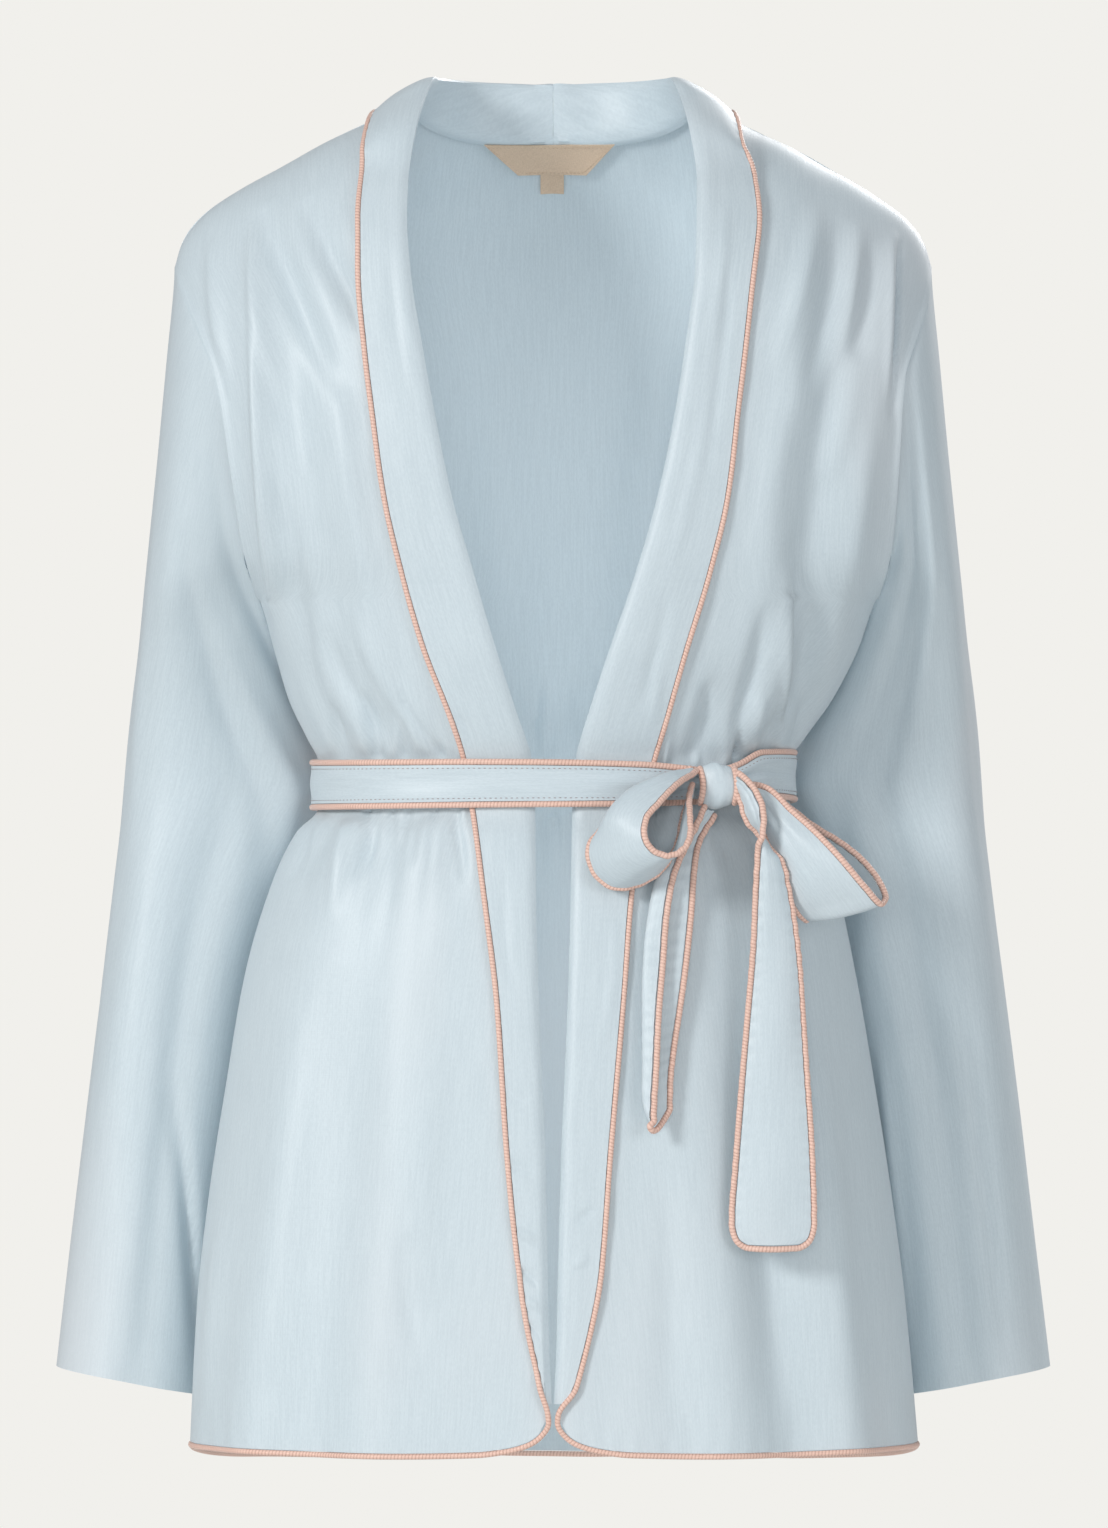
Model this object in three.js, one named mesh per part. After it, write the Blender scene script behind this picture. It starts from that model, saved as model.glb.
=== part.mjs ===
// A short kimono robe in satin, worn by nobody: shawl collar, piped edges and a belt tied in a bow at the side.
// Millimetres, +Z up. The wearer faces -Y, so the wearer's right side is at -X and the left side at +X.
// The origin is at the base of the neck, between the shoulders that carry the robe.
import * as THREE from "three";

// Driving sizes
const CLOTH = 1.4;
const BELT_CLOTH = 1.8;
const LABEL_CLOTH = 1;
const SEAM_GAP = 0.3;
const SLEEVE_GAP = 2.1;
const PIPING_RADIUS = 1.5;
const BELT_PIPING_RADIUS = 1.7;
const UNDERARM_Z = -257;
const WAIST_Z = -358;
const BACK_HEM_Z = -726;
const SHOULDER_TIP = 205.5;
const NECK_HALF_WIDTH = 76;
const CREST_RADIUS = 90;
const SQUARENESS = 2.2;
const ROLL_REACH = 2.8;
const LAPEL_LIFT = 3.7;
const LAPEL_END_Z = -668;
const BELT_LIFT = 7.6;
const KNOT_TURN_X = 80;
const FRONT = -1;
const BACK = 1;

// The two sides of the wearer: direction along X, and the names of their table columns
const SIDES = {
  right: { sign: -1, width: "right", fold: "foldRight", edge: "edgeRight", inner: "innerRight" },
  left: { sign: 1, width: "left", fold: "foldLeft", edge: "edgeLeft", inner: "innerLeft" },
};

// Body: half-width on each side and depth to the front and back, by height
const BODY = [
  { z: 30, right: 212, left: 212, front: 64, back: 78 },
  { z: -40, right: 212, left: 212, front: 84, back: 92 },
  { z: -100, right: 212, left: 213, front: 97, back: 102 },
  { z: -137, right: 213, left: 214, front: 102, back: 104 },
  { z: -186, right: 206, left: 209, front: 107, back: 103 },
  { z: -229, right: 182, left: 194, front: 107, back: 101 },
  { z: -257, right: 159, left: 175, front: 106, back: 99 },
  { z: -284, right: 151, left: 165, front: 104, back: 96 },
  { z: -311, right: 143, left: 151, front: 99, back: 92 },
  { z: -332, right: 133, left: 136, front: 93, back: 87 },
  { z: -345, right: 127, left: 128, front: 88.5, back: 84.5 },
  { z: -371, right: 127, left: 128, front: 88.5, back: 84.5 },
  { z: -384, right: 139, left: 141, front: 93, back: 90 },
  { z: -408, right: 151, left: 152, front: 99, back: 97 },
  { z: -461, right: 167, left: 164, front: 107, back: 106 },
  { z: -519, right: 177, left: 174, front: 112, back: 112 },
  { z: -584, right: 187, left: 184, front: 116, back: 116 },
  { z: -639, right: 193, left: 191, front: 119, back: 119 },
  { z: -740, right: 198, left: 200, front: 122, back: 122 },
];

// Crest of the shoulder, where front and back meet: height by distance from the middle
const CREST = [
  { x: 0, z: 24 },
  { x: 60, z: 20 },
  { x: 76, z: 14 },
  { x: 96, z: 5 },
  { x: 119, z: -6 },
  { x: 149, z: -22 },
  { x: 169, z: -33 },
  { x: 186, z: -44 },
  { x: 196, z: -54 },
  { x: 202, z: -64 },
  { x: 205.5, z: -76 },
];

// Neck edge of the back panel: height by distance from the middle
const BACK_NECK = [
  { x: 0, z: -2 },
  { x: 26, z: -2 },
  { x: 51, z: 1.5 },
  { x: 66, z: 7 },
  { x: 72.5, z: 11 },
  { x: 76, z: 14 },
];

// Armhole seam: distance from the middle by height
const ARMHOLE = [
  { z: -76, right: 205.5, left: 205.5 },
  { z: -92, right: 199, left: 203 },
  { z: -112, right: 190.5, left: 197 },
  { z: -137, right: 181.5, left: 189.5 },
  { z: -186, right: 173.5, left: 186 },
  { z: -229, right: 166.5, left: 182 },
  { z: -257, right: 159, left: 175 },
];

// Front opening: where each front folds back, and where the piped edge of the folded lapel lies
const OPENING = [
  { z: 14, foldRight: 76, foldLeft: 76, edgeRight: 95, edgeLeft: 96 },
  { z: -9, foldRight: 76, foldLeft: 76, edgeRight: 98, edgeLeft: 101 },
  { z: -27, foldRight: 78, foldLeft: 78, edgeRight: 101, edgeLeft: 106 },
  { z: -52, foldRight: 79, foldLeft: 78, edgeRight: 103, edgeLeft: 109 },
  { z: -81, foldRight: 77, foldLeft: 77, edgeRight: 103, edgeLeft: 106 },
  { z: -119, foldRight: 71, foldLeft: 72, edgeRight: 100, edgeLeft: 102 },
  { z: -152, foldRight: 65, foldLeft: 67, edgeRight: 96, edgeLeft: 98 },
  { z: -201, foldRight: 55, foldLeft: 57, edgeRight: 89, edgeLeft: 92 },
  { z: -243, foldRight: 43, foldLeft: 45, edgeRight: 79, edgeLeft: 82 },
  { z: -284, foldRight: 31, foldLeft: 31, edgeRight: 67, edgeLeft: 69.5 },
  { z: -324, foldRight: 18, foldLeft: 18, edgeRight: 51.5, edgeLeft: 58 },
  { z: -342, foldRight: 12, foldLeft: 13, edgeRight: 46, edgeLeft: 52.5 },
  { z: -370, foldRight: 10, foldLeft: 11, edgeRight: 41.5, edgeLeft: 47 },
  { z: -420, foldRight: 9.5, foldLeft: 10, edgeRight: 35, edgeLeft: 40 },
  { z: -474, foldRight: 8, foldLeft: 8.5, edgeRight: 28.5, edgeLeft: 36 },
  { z: -557, foldRight: 4.5, foldLeft: 5, edgeRight: 23, edgeLeft: 29 },
  { z: -622, foldRight: 3.2, foldLeft: 3.2, edgeRight: 16.5, edgeLeft: 24 },
  { z: -654, foldRight: 2.8, foldLeft: 2.8, edgeRight: 12.5, edgeLeft: 18 },
  { z: -668, foldRight: 2.6, foldLeft: 2.6, edgeRight: 10, edgeLeft: 14 },
  { z: -730, foldRight: 1, foldLeft: 1, edgeRight: 4, edgeLeft: 4 },
];

// Hem of each front: height by distance from the middle, rounded at the corner
const FRONT_HEM = [
  { x: 0, z: -694 },
  { x: 4, z: -700 },
  { x: 8, z: -707.5 },
  { x: 15, z: -712 },
  { x: 26, z: -715 },
  { x: 42, z: -717 },
  { x: 90, z: -718 },
  { x: 150, z: -717 },
  { x: 205, z: -715.5 },
];

// Shares of the way across a panel at which its columns stand
const FRONT_COLUMNS = [0, 0.02, 0.055, 0.11, 0.18, 0.255, 0.33, 0.41, 0.49, 0.565, 0.64, 0.715, 0.785, 0.85,
  0.905, 0.95, 0.98, 1];
const BACK_COLUMNS = [0, 0.125, 0.25, 0.32, 0.353, 0.3698, 0.45, 0.53, 0.61, 0.69, 0.765, 0.835, 0.895, 0.945,
  0.98, 1];

// Rows of the panels: shares of the armhole stretch, then heights down to the hem
const ARMHOLE_ROWS = [0, 0.025, 0.076, 0.146, 0.23, 0.33, 0.44, 0.565, 0.7, 0.845, 1];
const SIDE_ROWS = [-284, -308, -326, -342, -358, -374, -390, -412, -440, -475, -515, -558, -602, -645];
const HEM_ROWS = [0.5, 1];
const PANEL_ROWS = ARMHOLE_ROWS.length + SIDE_ROWS.length + HEM_ROWS.length;
const FIRST_LAPEL_ROW = 3;

// Rows of the sleeves: heights at the outer and inner side, and how far each has settled from the armhole's loop
const SLEEVE_ROWS = [
  { outerZ: -90, innerZ: -266, settled: 0.15 },
  { outerZ: -112, innerZ: -276, settled: 0.32 },
  { outerZ: -140, innerZ: -288, settled: 0.5 },
  { outerZ: -175, innerZ: -302, settled: 0.7 },
  { outerZ: -216, innerZ: -318, settled: 0.86 },
  { outerZ: -262, innerZ: -338, settled: 0.96 },
  { outerZ: -310, innerZ: -362, settled: 1 },
  { outerZ: -362, innerZ: -394, settled: 1 },
  { outerZ: -416, innerZ: -436, settled: 1 },
  { outerZ: -472, innerZ: -486, settled: 1 },
  { outerZ: -530, innerZ: -542, settled: 1 },
  { outerZ: -588, innerZ: -600, settled: 1 },
  { outerZ: -636, innerZ: -650, settled: 1 },
  { outerZ: -677, innerZ: -693, settled: 1 },
];

// Sleeve hanging free: its outer and inner sides, front and back, by height
const SLEEVE = [
  { z: -60, outer: 205.5, innerRight: 152, innerLeft: 165, front: -60, back: 60 },
  { z: -93, outer: 206.5, innerRight: 154, innerLeft: 168, front: -62, back: 62 },
  { z: -158, outer: 213.5, innerRight: 160, innerLeft: 174, front: -58, back: 66 },
  { z: -202, outer: 218, innerRight: 163, innerLeft: 178, front: -46, back: 73 },
  { z: -257, outer: 224, innerRight: 168, innerLeft: 186, front: -26, back: 86 },
  { z: -284, outer: 227, innerRight: 157, innerLeft: 175, front: -4, back: 94 },
  { z: -311, outer: 230.5, innerRight: 141, innerLeft: 154, front: 12, back: 101 },
  { z: -335, outer: 233, innerRight: 129, innerLeft: 133, front: 20, back: 105 },
  { z: -358, outer: 235, innerRight: 123, innerLeft: 124, front: 24, back: 108 },
  { z: -380, outer: 237, innerRight: 131, innerLeft: 133, front: 25, back: 109 },
  { z: -408, outer: 240.5, innerRight: 144, innerLeft: 145, front: 25, back: 111 },
  { z: -461, outer: 247, innerRight: 160, innerLeft: 157, front: 24, back: 113 },
  { z: -520, outer: 254, innerRight: 170, innerLeft: 167, front: 23, back: 114 },
  { z: -620, outer: 266, innerRight: 184, innerLeft: 182, front: 21, back: 114 },
  { z: -700, outer: 275.5, innerRight: 191, innerLeft: 191, front: 19, back: 112 },
];

// Collar round the neck, from the centre back to the front: where its inner leg meets the panel,
// the top of the roll and the piped edge that falls outside
const COLLAR = [
  { face: BACK, x: 0, z: -2, roll: [0, 66, 27], edge: [0, 84, -13] },
  { face: BACK, x: 26, z: -2, roll: [25, 63, 27.5], edge: [34, 80, -11] },
  { face: BACK, x: 51, z: 1.5, roll: [46, 50, 28], edge: [65, 61, -3] },
  { face: BACK, x: 66, z: 7, roll: [58, 31, 28.5], edge: [84, 36, 6] },
  { face: BACK, x: 72.5, z: 11, roll: [63, 14, 28.5], edge: [93, 16, 10] },
  { face: BACK, x: 76, z: 13.9, roll: [64.6, 2, 28.3], edge: [95.6, 3, 11.2] },
  { face: FRONT, x: 78.8, z: 12.6, roll: [66, -8, 26.5], edge: [96.8, -9, 10] },
  { face: FRONT, x: 78.8, z: 6.1, roll: [69.5, -23, 18], edge: [99, -25, 4.5] },
  { face: FRONT, x: 78.8, z: -7.6, roll: [74.5, -48, -1], edge: [102, -47, -10] },
];

// Soft folds of the panels: each runs from one place to another as seen from the front or back.
// A depth above zero is a ridge. A fold fades out at both ends.
const FRONT_FOLDS = {
  right: [
    { fromX: 170, fromZ: -70, toX: 146, toZ: -352, width: 10, depth: 6 },
    { fromX: 146, fromZ: -50, toX: 128, toZ: -352, width: 11, depth: -4 },
    { fromX: 126, fromZ: -80, toX: 84, toZ: -352, width: 12, depth: 4 },
    { fromX: 120, fromZ: -370, toX: 206, toZ: -1050, width: 15, depth: 5 },
    { fromX: 92, fromZ: -370, toX: 170, toZ: -1050, width: 17, depth: -5 },
    { fromX: 66, fromZ: -370, toX: 122, toZ: -1050, width: 18, depth: 3.5 },
  ],
  left: [
    { fromX: 188, fromZ: -100, toX: 146, toZ: -350, width: 11, depth: 6 },
    { fromX: 168, fromZ: -40, toX: 120, toZ: -348, width: 11, depth: -5 },
    { fromX: 140, fromZ: -60, toX: 100, toZ: -352, width: 11, depth: 5 },
    { fromX: 118, fromZ: -370, toX: 204, toZ: -1050, width: 14, depth: 6 },
    { fromX: 90, fromZ: -370, toX: 166, toZ: -1050, width: 16, depth: -5 },
    { fromX: 64, fromZ: -370, toX: 124, toZ: -1050, width: 17, depth: 4 },
  ],
};
const BACK_FOLDS = [
  { fromX: -150, fromZ: -60, toX: -124, toZ: -352, width: 13, depth: 5 },
  { fromX: -104, fromZ: -60, toX: -78, toZ: -352, width: 15, depth: -4 },
  { fromX: -30, fromZ: -90, toX: -26, toZ: -352, width: 18, depth: 3 },
  { fromX: 60, fromZ: -80, toX: 46, toZ: -352, width: 16, depth: -4 },
  { fromX: 138, fromZ: -60, toX: 112, toZ: -352, width: 14, depth: 5 },
  { fromX: -104, fromZ: -366, toX: -196, toZ: -1060, width: 18, depth: 7 },
  { fromX: -64, fromZ: -366, toX: -118, toZ: -1060, width: 19, depth: -6 },
  { fromX: -24, fromZ: -366, toX: -44, toZ: -1060, width: 18, depth: 6 },
  { fromX: 16, fromZ: -366, toX: 26, toZ: -1060, width: 17, depth: -5 },
  { fromX: 54, fromZ: -366, toX: 100, toZ: -1060, width: 19, depth: 7 },
  { fromX: 92, fromZ: -366, toX: 172, toZ: -1060, width: 19, depth: -6 },
];

// Small gathers above and below the belt, counted round half the waist
const GATHERS = 9;
const GATHER_DEPTH = 2.6;
const GATHER_NEAR = 14;
const GATHER_FAR = 78;

// Folds of the sleeves: around is the share of the turn from the outer side by way of the front
const SLEEVE_FOLDS = [
  { around: 0.15, fromZ: -100, toZ: -640, width: 0.05, depth: 4 },
  { around: 0.26, fromZ: -190, toZ: -820, width: 0.05, depth: -5 },
  { around: 0.74, fromZ: -160, toZ: -760, width: 0.06, depth: -5 },
  { around: 0.86, fromZ: -120, toZ: -620, width: 0.05, depth: 4 },
];

// Belt round the waist, from the knot by way of the front, the right side and the back: height and half its width
const BELT = [
  { share: 0, z: -358, half: 7.5 },
  { share: 0.05, z: -357, half: 9.5 },
  { share: 0.12, z: -356.5, half: 11 },
  { share: 0.3, z: -357.5, half: 12 },
  { share: 0.6, z: -358, half: 12.5 },
  { share: 0.88, z: -355.5, half: 10.5 },
  { share: 0.95, z: -357, half: 9 },
  { share: 1, z: -359, half: 6.5 },
];
const BELT_STEPS = 48;
const BELT_END_SHARE = 0.0004;
const KNOT_CORD_REACH = 0.86;
const KNOT_CORD_RING = 0.51;
const KNOT = { halfWidth: 8.2, halfHeight: 12.5, halfDepth: 9, squareness: 0.72 };

// Ribbons of the bow and the hanging ends: the edge that is nearer the viewer, the middle and the other edge,
// from the knot outwards
const BOW_LOOP_RIGHT = [
  { near: [75.2, -95, -350], middle: [75, -92, -349.5], far: [74.6, -89, -349] },
  { near: [66.8, -113, -355.5], middle: [61, -107, -353.5], far: [56, -100, -352.5] },
  { near: [55.8, -127, -366], middle: [45.5, -120, -363.5], far: [36.5, -108, -362] },
  { near: [48.2, -134, -376], middle: [34.5, -126, -378], far: [24, -112, -380] },
  { near: [47.6, -137, -385], middle: [32, -128, -388], far: [20, -114, -391] },
  { near: [52, -137, -393], middle: [35, -128, -398], far: [22.5, -114, -403] },
  { near: [61, -136, -396.5], middle: [45.5, -127, -404], far: [32.5, -113, -411.5] },
  { near: [69, -134, -393], middle: [57, -125, -401.5], far: [45, -112, -411] },
  { near: [72.8, -130, -386], middle: [66, -121, -394], far: [58, -110, -404] },
  { near: [73, -123, -376], middle: [70, -116, -383], far: [66.5, -107, -391] },
  { near: [73.2, -110, -366], middle: [72, -106, -369.5], far: [70.5, -101, -374] },
  { near: [75.2, -95, -359], middle: [75, -92.5, -361], far: [74.8, -90, -363] },
];
const BOW_LOOP_LEFT = [
  { near: [99, -89.8, -359], middle: [99.2, -88.8, -361.4], far: [99.4, -87.8, -363.9] },
  { near: [113, -94, -360], middle: [110, -95, -364.5], far: [107.5, -93.5, -369] },
  { near: [128, -101, -373], middle: [121.5, -101.5, -379], far: [116, -96, -384] },
  { near: [141, -108, -385], middle: [131, -107, -393], far: [121.5, -98, -401] },
  { near: [154, -113, -398.6], middle: [141, -109, -408], far: [128.5, -97.5, -415] },
  { near: [168, -112, -415], middle: [151, -105, -421], far: [133.5, -94, -425.5] },
  { near: [175, -108, -422.5], middle: [157, -101, -428], far: [138.5, -90, -430.5] },
  { near: [178, -102, -419.5], middle: [159, -94, -424.5], far: [139.5, -83, -427] },
  { near: [175, -97, -411], middle: [155, -88, -415], far: [135, -77.5, -417] },
  { near: [167, -92, -400.5], middle: [147.5, -83, -403.5], far: [129, -74, -405.5] },
  { near: [156, -88, -391], middle: [138.5, -81, -391.5], far: [122.5, -75, -391.5] },
  { near: [140, -85, -380.5], middle: [127, -80, -379], far: [115.5, -77.5, -377] },
  { near: [118, -83.5, -365], middle: [112, -82, -366], far: [107.5, -81, -367] },
  { near: [98.2, -83.5, -356.6], middle: [98.4, -82.5, -359], far: [98.6, -81.5, -361.5] },
];
const BELT_END_RIGHT = [
  { near: [82.9, -92, -370.9], middle: [84.9, -90.2, -371.1], far: [87, -88.8, -371.2] },
  { near: [72, -98, -386], middle: [70.5, -95, -387], far: [77, -91.5, -388] },
  { near: [64, -103.5, -403], middle: [58.5, -100.5, -404], far: [74, -97, -404] },
  { near: [59.5, -108, -425], middle: [52.5, -105, -426], far: [72.5, -101, -426] },
  { near: [57, -114, -454], middle: [50, -111, -454], far: [69.5, -107, -454] },
  { near: [54.8, -119, -482], middle: [49, -115.5, -482], far: [66, -111, -480] },
  { near: [53.4, -122, -510], middle: [49.5, -118.5, -508], far: [62.5, -114, -503] },
  { near: [52.4, -124, -536], middle: [51, -120.5, -530], far: [61, -116, -520] },
  { near: [53.4, -124.5, -542], middle: [56, -121.5, -539.5], far: [61, -117.3, -532] },
];
const BELT_END_LEFT = [
  { near: [100.4, -97.5, -353], middle: [100.4, -96, -355.5], far: [100.4, -94.5, -358] },
  { near: [105.8, -103, -359.5], middle: [104.5, -102, -363], far: [102.5, -99.5, -366] },
  { near: [111, -108, -370], middle: [108.5, -106, -373], far: [105.5, -102, -376] },
  { near: [112.7, -110, -381], middle: [112, -106, -382], far: [111.5, -102, -383.5] },
  { near: [112.9, -110, -388], middle: [114.3, -107.8, -389], far: [116, -103.5, -390.5] },
  { near: [112.4, -109.5, -395], middle: [116.5, -109.3, -396], far: [121, -106, -397] },
  { near: [111.5, -107.5, -413], middle: [118.5, -108, -413], far: [125.5, -104, -413] },
  { near: [110.5, -107, -440], middle: [120, -108, -440], far: [129.5, -103.5, -440] },
  { near: [107, -108.5, -482], middle: [120.5, -110, -482], far: [133, -105, -481] },
  { near: [103.6, -110.5, -524], middle: [119.5, -112, -524], far: [135.5, -107, -522] },
  { near: [100.2, -113, -566], middle: [118.5, -114.5, -566], far: [138, -110, -564] },
  { near: [98.9, -114.5, -590], middle: [118, -116, -590], far: [138.4, -111.5, -588] },
  { near: [101, -115, -599.5], middle: [118, -116.5, -600], far: [136.4, -112, -598.5] },
  { near: [106.5, -115.4, -604.5], middle: [118, -116.8, -605], far: [131, -113.4, -604.5] },
];

// Label inside the back neck, and the tab under it
const NECK_LABEL = {
  topLeft: -38, topRight: 34, bottomLeft: -19.5, bottomRight: 18.5, top: -3.5, bottom: -19.5, lift: -3.6,
};
const SIZE_TAB = { topLeft: -7, topRight: 6, bottomLeft: -7, bottomRight: 6, top: -14, bottom: -31, lift: -1.4 };

const SATIN = { color: 0xc9d9e2, roughness: 0.42, metalness: 0 };
const PIPING = { color: 0xe9bfae, roughness: 0.5, metalness: 0 };
const LABEL = { color: 0xe3cdb2, roughness: 0.6, metalness: 0 };

const mix = (from, to, share) => from + (to - from) * share;
const clamp = (value) => Math.min(1, Math.max(0, value));
const ease = (value) => clamp(value) ** 2 * (3 - 2 * clamp(value));
const vector = (list) => new THREE.Vector3(...list);
const mixPoints = (from, to, share) => from.clone().lerp(to, share);

// Reads a column of a table between its rows along a smooth curve that never overshoots them
function read(table, key, column, at) {
  const rising = table[1][key] > table[0][key];
  let row = 0;
  while (row < table.length - 2 && (rising ? at > table[row + 1][key] : at < table[row + 1][key])) row += 1;
  const slope = (start) => {
    const [first, second] = [table[start], table[start + 1]];
    return first && second ? (second[column] - first[column]) / (second[key] - first[key]) : null;
  };
  const blend = (before, after) => {
    if (before === null) return after;
    if (after === null) return before;
    return before * after <= 0 ? 0 : (2 * before * after) / (before + after);
  };
  const here = slope(row);
  const [startSlope, endSlope] = [blend(slope(row - 1), here), blend(here, slope(row + 1))];
  const span = table[row + 1][key] - table[row][key];
  const share = clamp((at - table[row][key]) / span);
  const rest = 1 - share;
  return (1 + 2 * share) * rest ** 2 * table[row][column] + share * rest ** 2 * span * startSlope
    + share ** 2 * (3 - 2 * share) * table[row + 1][column] - share ** 2 * rest * span * endSlope;
}

const sideOf = (x) => (x < 0 ? SIDES.right : SIDES.left);
const crestHeight = (x) => read(CREST, "x", "z", Math.abs(x));
const halfWidth = (side, z) => read(BODY, "z", side.width, z);
const foldLine = (side, z) => read(OPENING, "z", side.fold, z);
const edgeLine = (side, z) => read(OPENING, "z", side.edge, z);
const armholeLine = (side, z) => (z > ARMHOLE[0].z ? SHOULDER_TIP : read(ARMHOLE, "z", side.width, z));
const panelSide = (side, z) => (z < UNDERARM_Z ? halfWidth(side, z) : armholeLine(side, z));

// Smooth body surface under the cloth, without folds
function bodyPoint(x, z, face) {
  const across = Math.min(1, Math.abs(x) / halfWidth(sideOf(x), z));
  const round = (1 - across ** SQUARENESS) ** (1 / SQUARENESS);
  const drop = clamp((crestHeight(x) - z) / CREST_RADIUS);
  const ridge = Math.sqrt(1 - (1 - drop) ** 2);
  const depth = read(BODY, "z", face === FRONT ? "front" : "back", z);
  return new THREE.Vector3(x, face * (depth * round * ridge + SEAM_GAP / 2), z);
}

function bodyNormal(x, z, face) {
  const step = 1.5;
  const along = bodyPoint(x + step, z, face).sub(bodyPoint(x - step, z, face));
  const up = bodyPoint(x, z + step, face).sub(bodyPoint(x, z - step, face));
  return along.cross(up).multiplyScalar(face === FRONT ? 1 : -1).normalize();
}

function foldDepth(folds, x, z) {
  let depth = 0;
  for (const fold of folds) {
    const share = (fold.fromZ - z) / (fold.fromZ - fold.toZ);
    if (share <= 0 || share >= 1) continue;
    const middle = mix(fold.fromX, fold.toX, share);
    depth += fold.depth * Math.sin(Math.PI * share) ** 1.4 * Math.exp(-(((x - middle) / fold.width) ** 2));
  }
  return depth;
}

// Gathers are strongest just above and below the belt and lie flat under it
function gatherDepth(x, z, face) {
  const away = Math.abs(z - WAIST_Z);
  if (away < GATHER_NEAR || away > GATHER_FAR) return 0;
  const share = (away - GATHER_NEAR) / (GATHER_FAR - GATHER_NEAR);
  const strength = Math.sin(Math.PI * share ** 0.6) ** 2;
  const turn = Math.asin(Math.max(-1, Math.min(1, x / halfWidth(sideOf(x), z)))) / Math.PI;
  const wave = Math.sin(2 * Math.PI * GATHERS * turn + face + 0.9 * Math.sin(7 * turn + Math.sign(z - WAIST_Z)));
  return GATHER_DEPTH * strength * wave;
}

// How far the cloth stands out from the smooth body. It lies flat under the lapel and at the side seams.
function clothRelief(x, z, face) {
  const side = sideOf(x);
  const toSide = 1 - ease((Math.abs(x) / panelSide(side, z) - 0.86) / 0.12);
  const folds = face === FRONT ? FRONT_FOLDS[side.width] : BACK_FOLDS;
  const along = face === FRONT ? Math.abs(x) : x;
  const fromLapel = face === FRONT ? ease((Math.abs(x) - edgeLine(side, z) - 4) / 18) : 1;
  return (foldDepth(folds, along, z) + gatherDepth(x, z, face)) * toSide * fromLapel;
}

// A point of the cloth's inner face, or of a layer that lies at some height over it
function clothPoint(x, z, face, lift = 0) {
  return bodyPoint(x, z, face).addScaledVector(bodyNormal(x, z, face), clothRelief(x, z, face) + lift);
}

// Turns points and faces into a geometry whose faces point out
function solid(points, faces) {
  let volume = 0;
  for (const [a, b, c] of faces) volume += points[a].dot(new THREE.Vector3().crossVectors(points[b], points[c]));
  const turned = volume < 0 ? faces.map(([a, b, c]) => [a, c, b]) : faces;
  const geometry = new THREE.BufferGeometry().setFromPoints(points);
  geometry.setIndex(turned.flat());
  geometry.computeVertexNormals();
  return geometry;
}

// A closed wall between two grids of points, each cell cut along its shorter diagonal.
// A tube's rows close on themselves.
function wall(inner, outer, tube = false) {
  const [rows, columns] = [inner.length, inner[0].length];
  const points = [...inner.flat(), ...outer.flat()];
  const at = (layer, row, column) => (layer * rows + row) * columns + (column % columns);
  const faces = [];
  const quad = (a, b, c, d) => faces.push([a, b, c], [a, c, d]);
  const spans = tube ? columns : columns - 1;
  const [lastRow, lastColumn] = [rows - 1, columns - 1];
  for (let column = 0; column < spans; column += 1) {
    for (let row = 0; row < lastRow; row += 1) {
      const next = (column + 1) % columns;
      const falling = outer[row][column].distanceTo(outer[row + 1][next]);
      const corners = [[row, column], [row, column + 1], [row + 1, column + 1], [row + 1, column]];
      if (falling > outer[row][next].distanceTo(outer[row + 1][column])) corners.push(corners.shift());
      quad(...corners.map(([down, across]) => at(1, down, across)));
      const [first, second, third, fourth] = corners.map(([down, across]) => at(0, down, across));
      quad(first, fourth, third, second);
    }
    quad(at(0, 0, column), at(0, 0, column + 1), at(1, 0, column + 1), at(1, 0, column));
    quad(at(0, lastRow, column + 1), at(0, lastRow, column), at(1, lastRow, column), at(1, lastRow, column + 1));
  }
  for (let row = 0; row < lastRow && !tube; row += 1) {
    quad(at(0, row + 1, 0), at(0, row, 0), at(1, row, 0), at(1, row + 1, 0));
    quad(at(0, row, lastColumn), at(0, row + 1, lastColumn), at(1, row + 1, lastColumn), at(1, row, lastColumn));
  }
  return solid(points, faces);
}

// Normals of a grid of points, from its neighbours
function gridNormals(grid, tube) {
  const columns = grid[0].length;
  const wrap = (column) => (tube ? (column + columns) % columns : Math.min(columns - 1, Math.max(0, column)));
  return grid.map((row, index) => row.map((_, column) => {
    const along = row[wrap(column + 1)].clone().sub(row[wrap(column - 1)]);
    const next = grid[Math.min(grid.length - 1, index + 1)][column];
    const down = next.clone().sub(grid[Math.max(0, index - 1)][column]);
    return along.cross(down).normalize();
  }));
}

// A wall of even thickness about a grid of middle points
function sheet(grid, thickness, tube = false) {
  const normals = gridNormals(grid, tube);
  const moved = (share) => grid.map((row, index) => row.map((point, column) => (
    point.clone().addScaledVector(normals[index][column], thickness * share)
  )));
  return wall(moved(-0.5), moved(0.5), tube);
}

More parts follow.
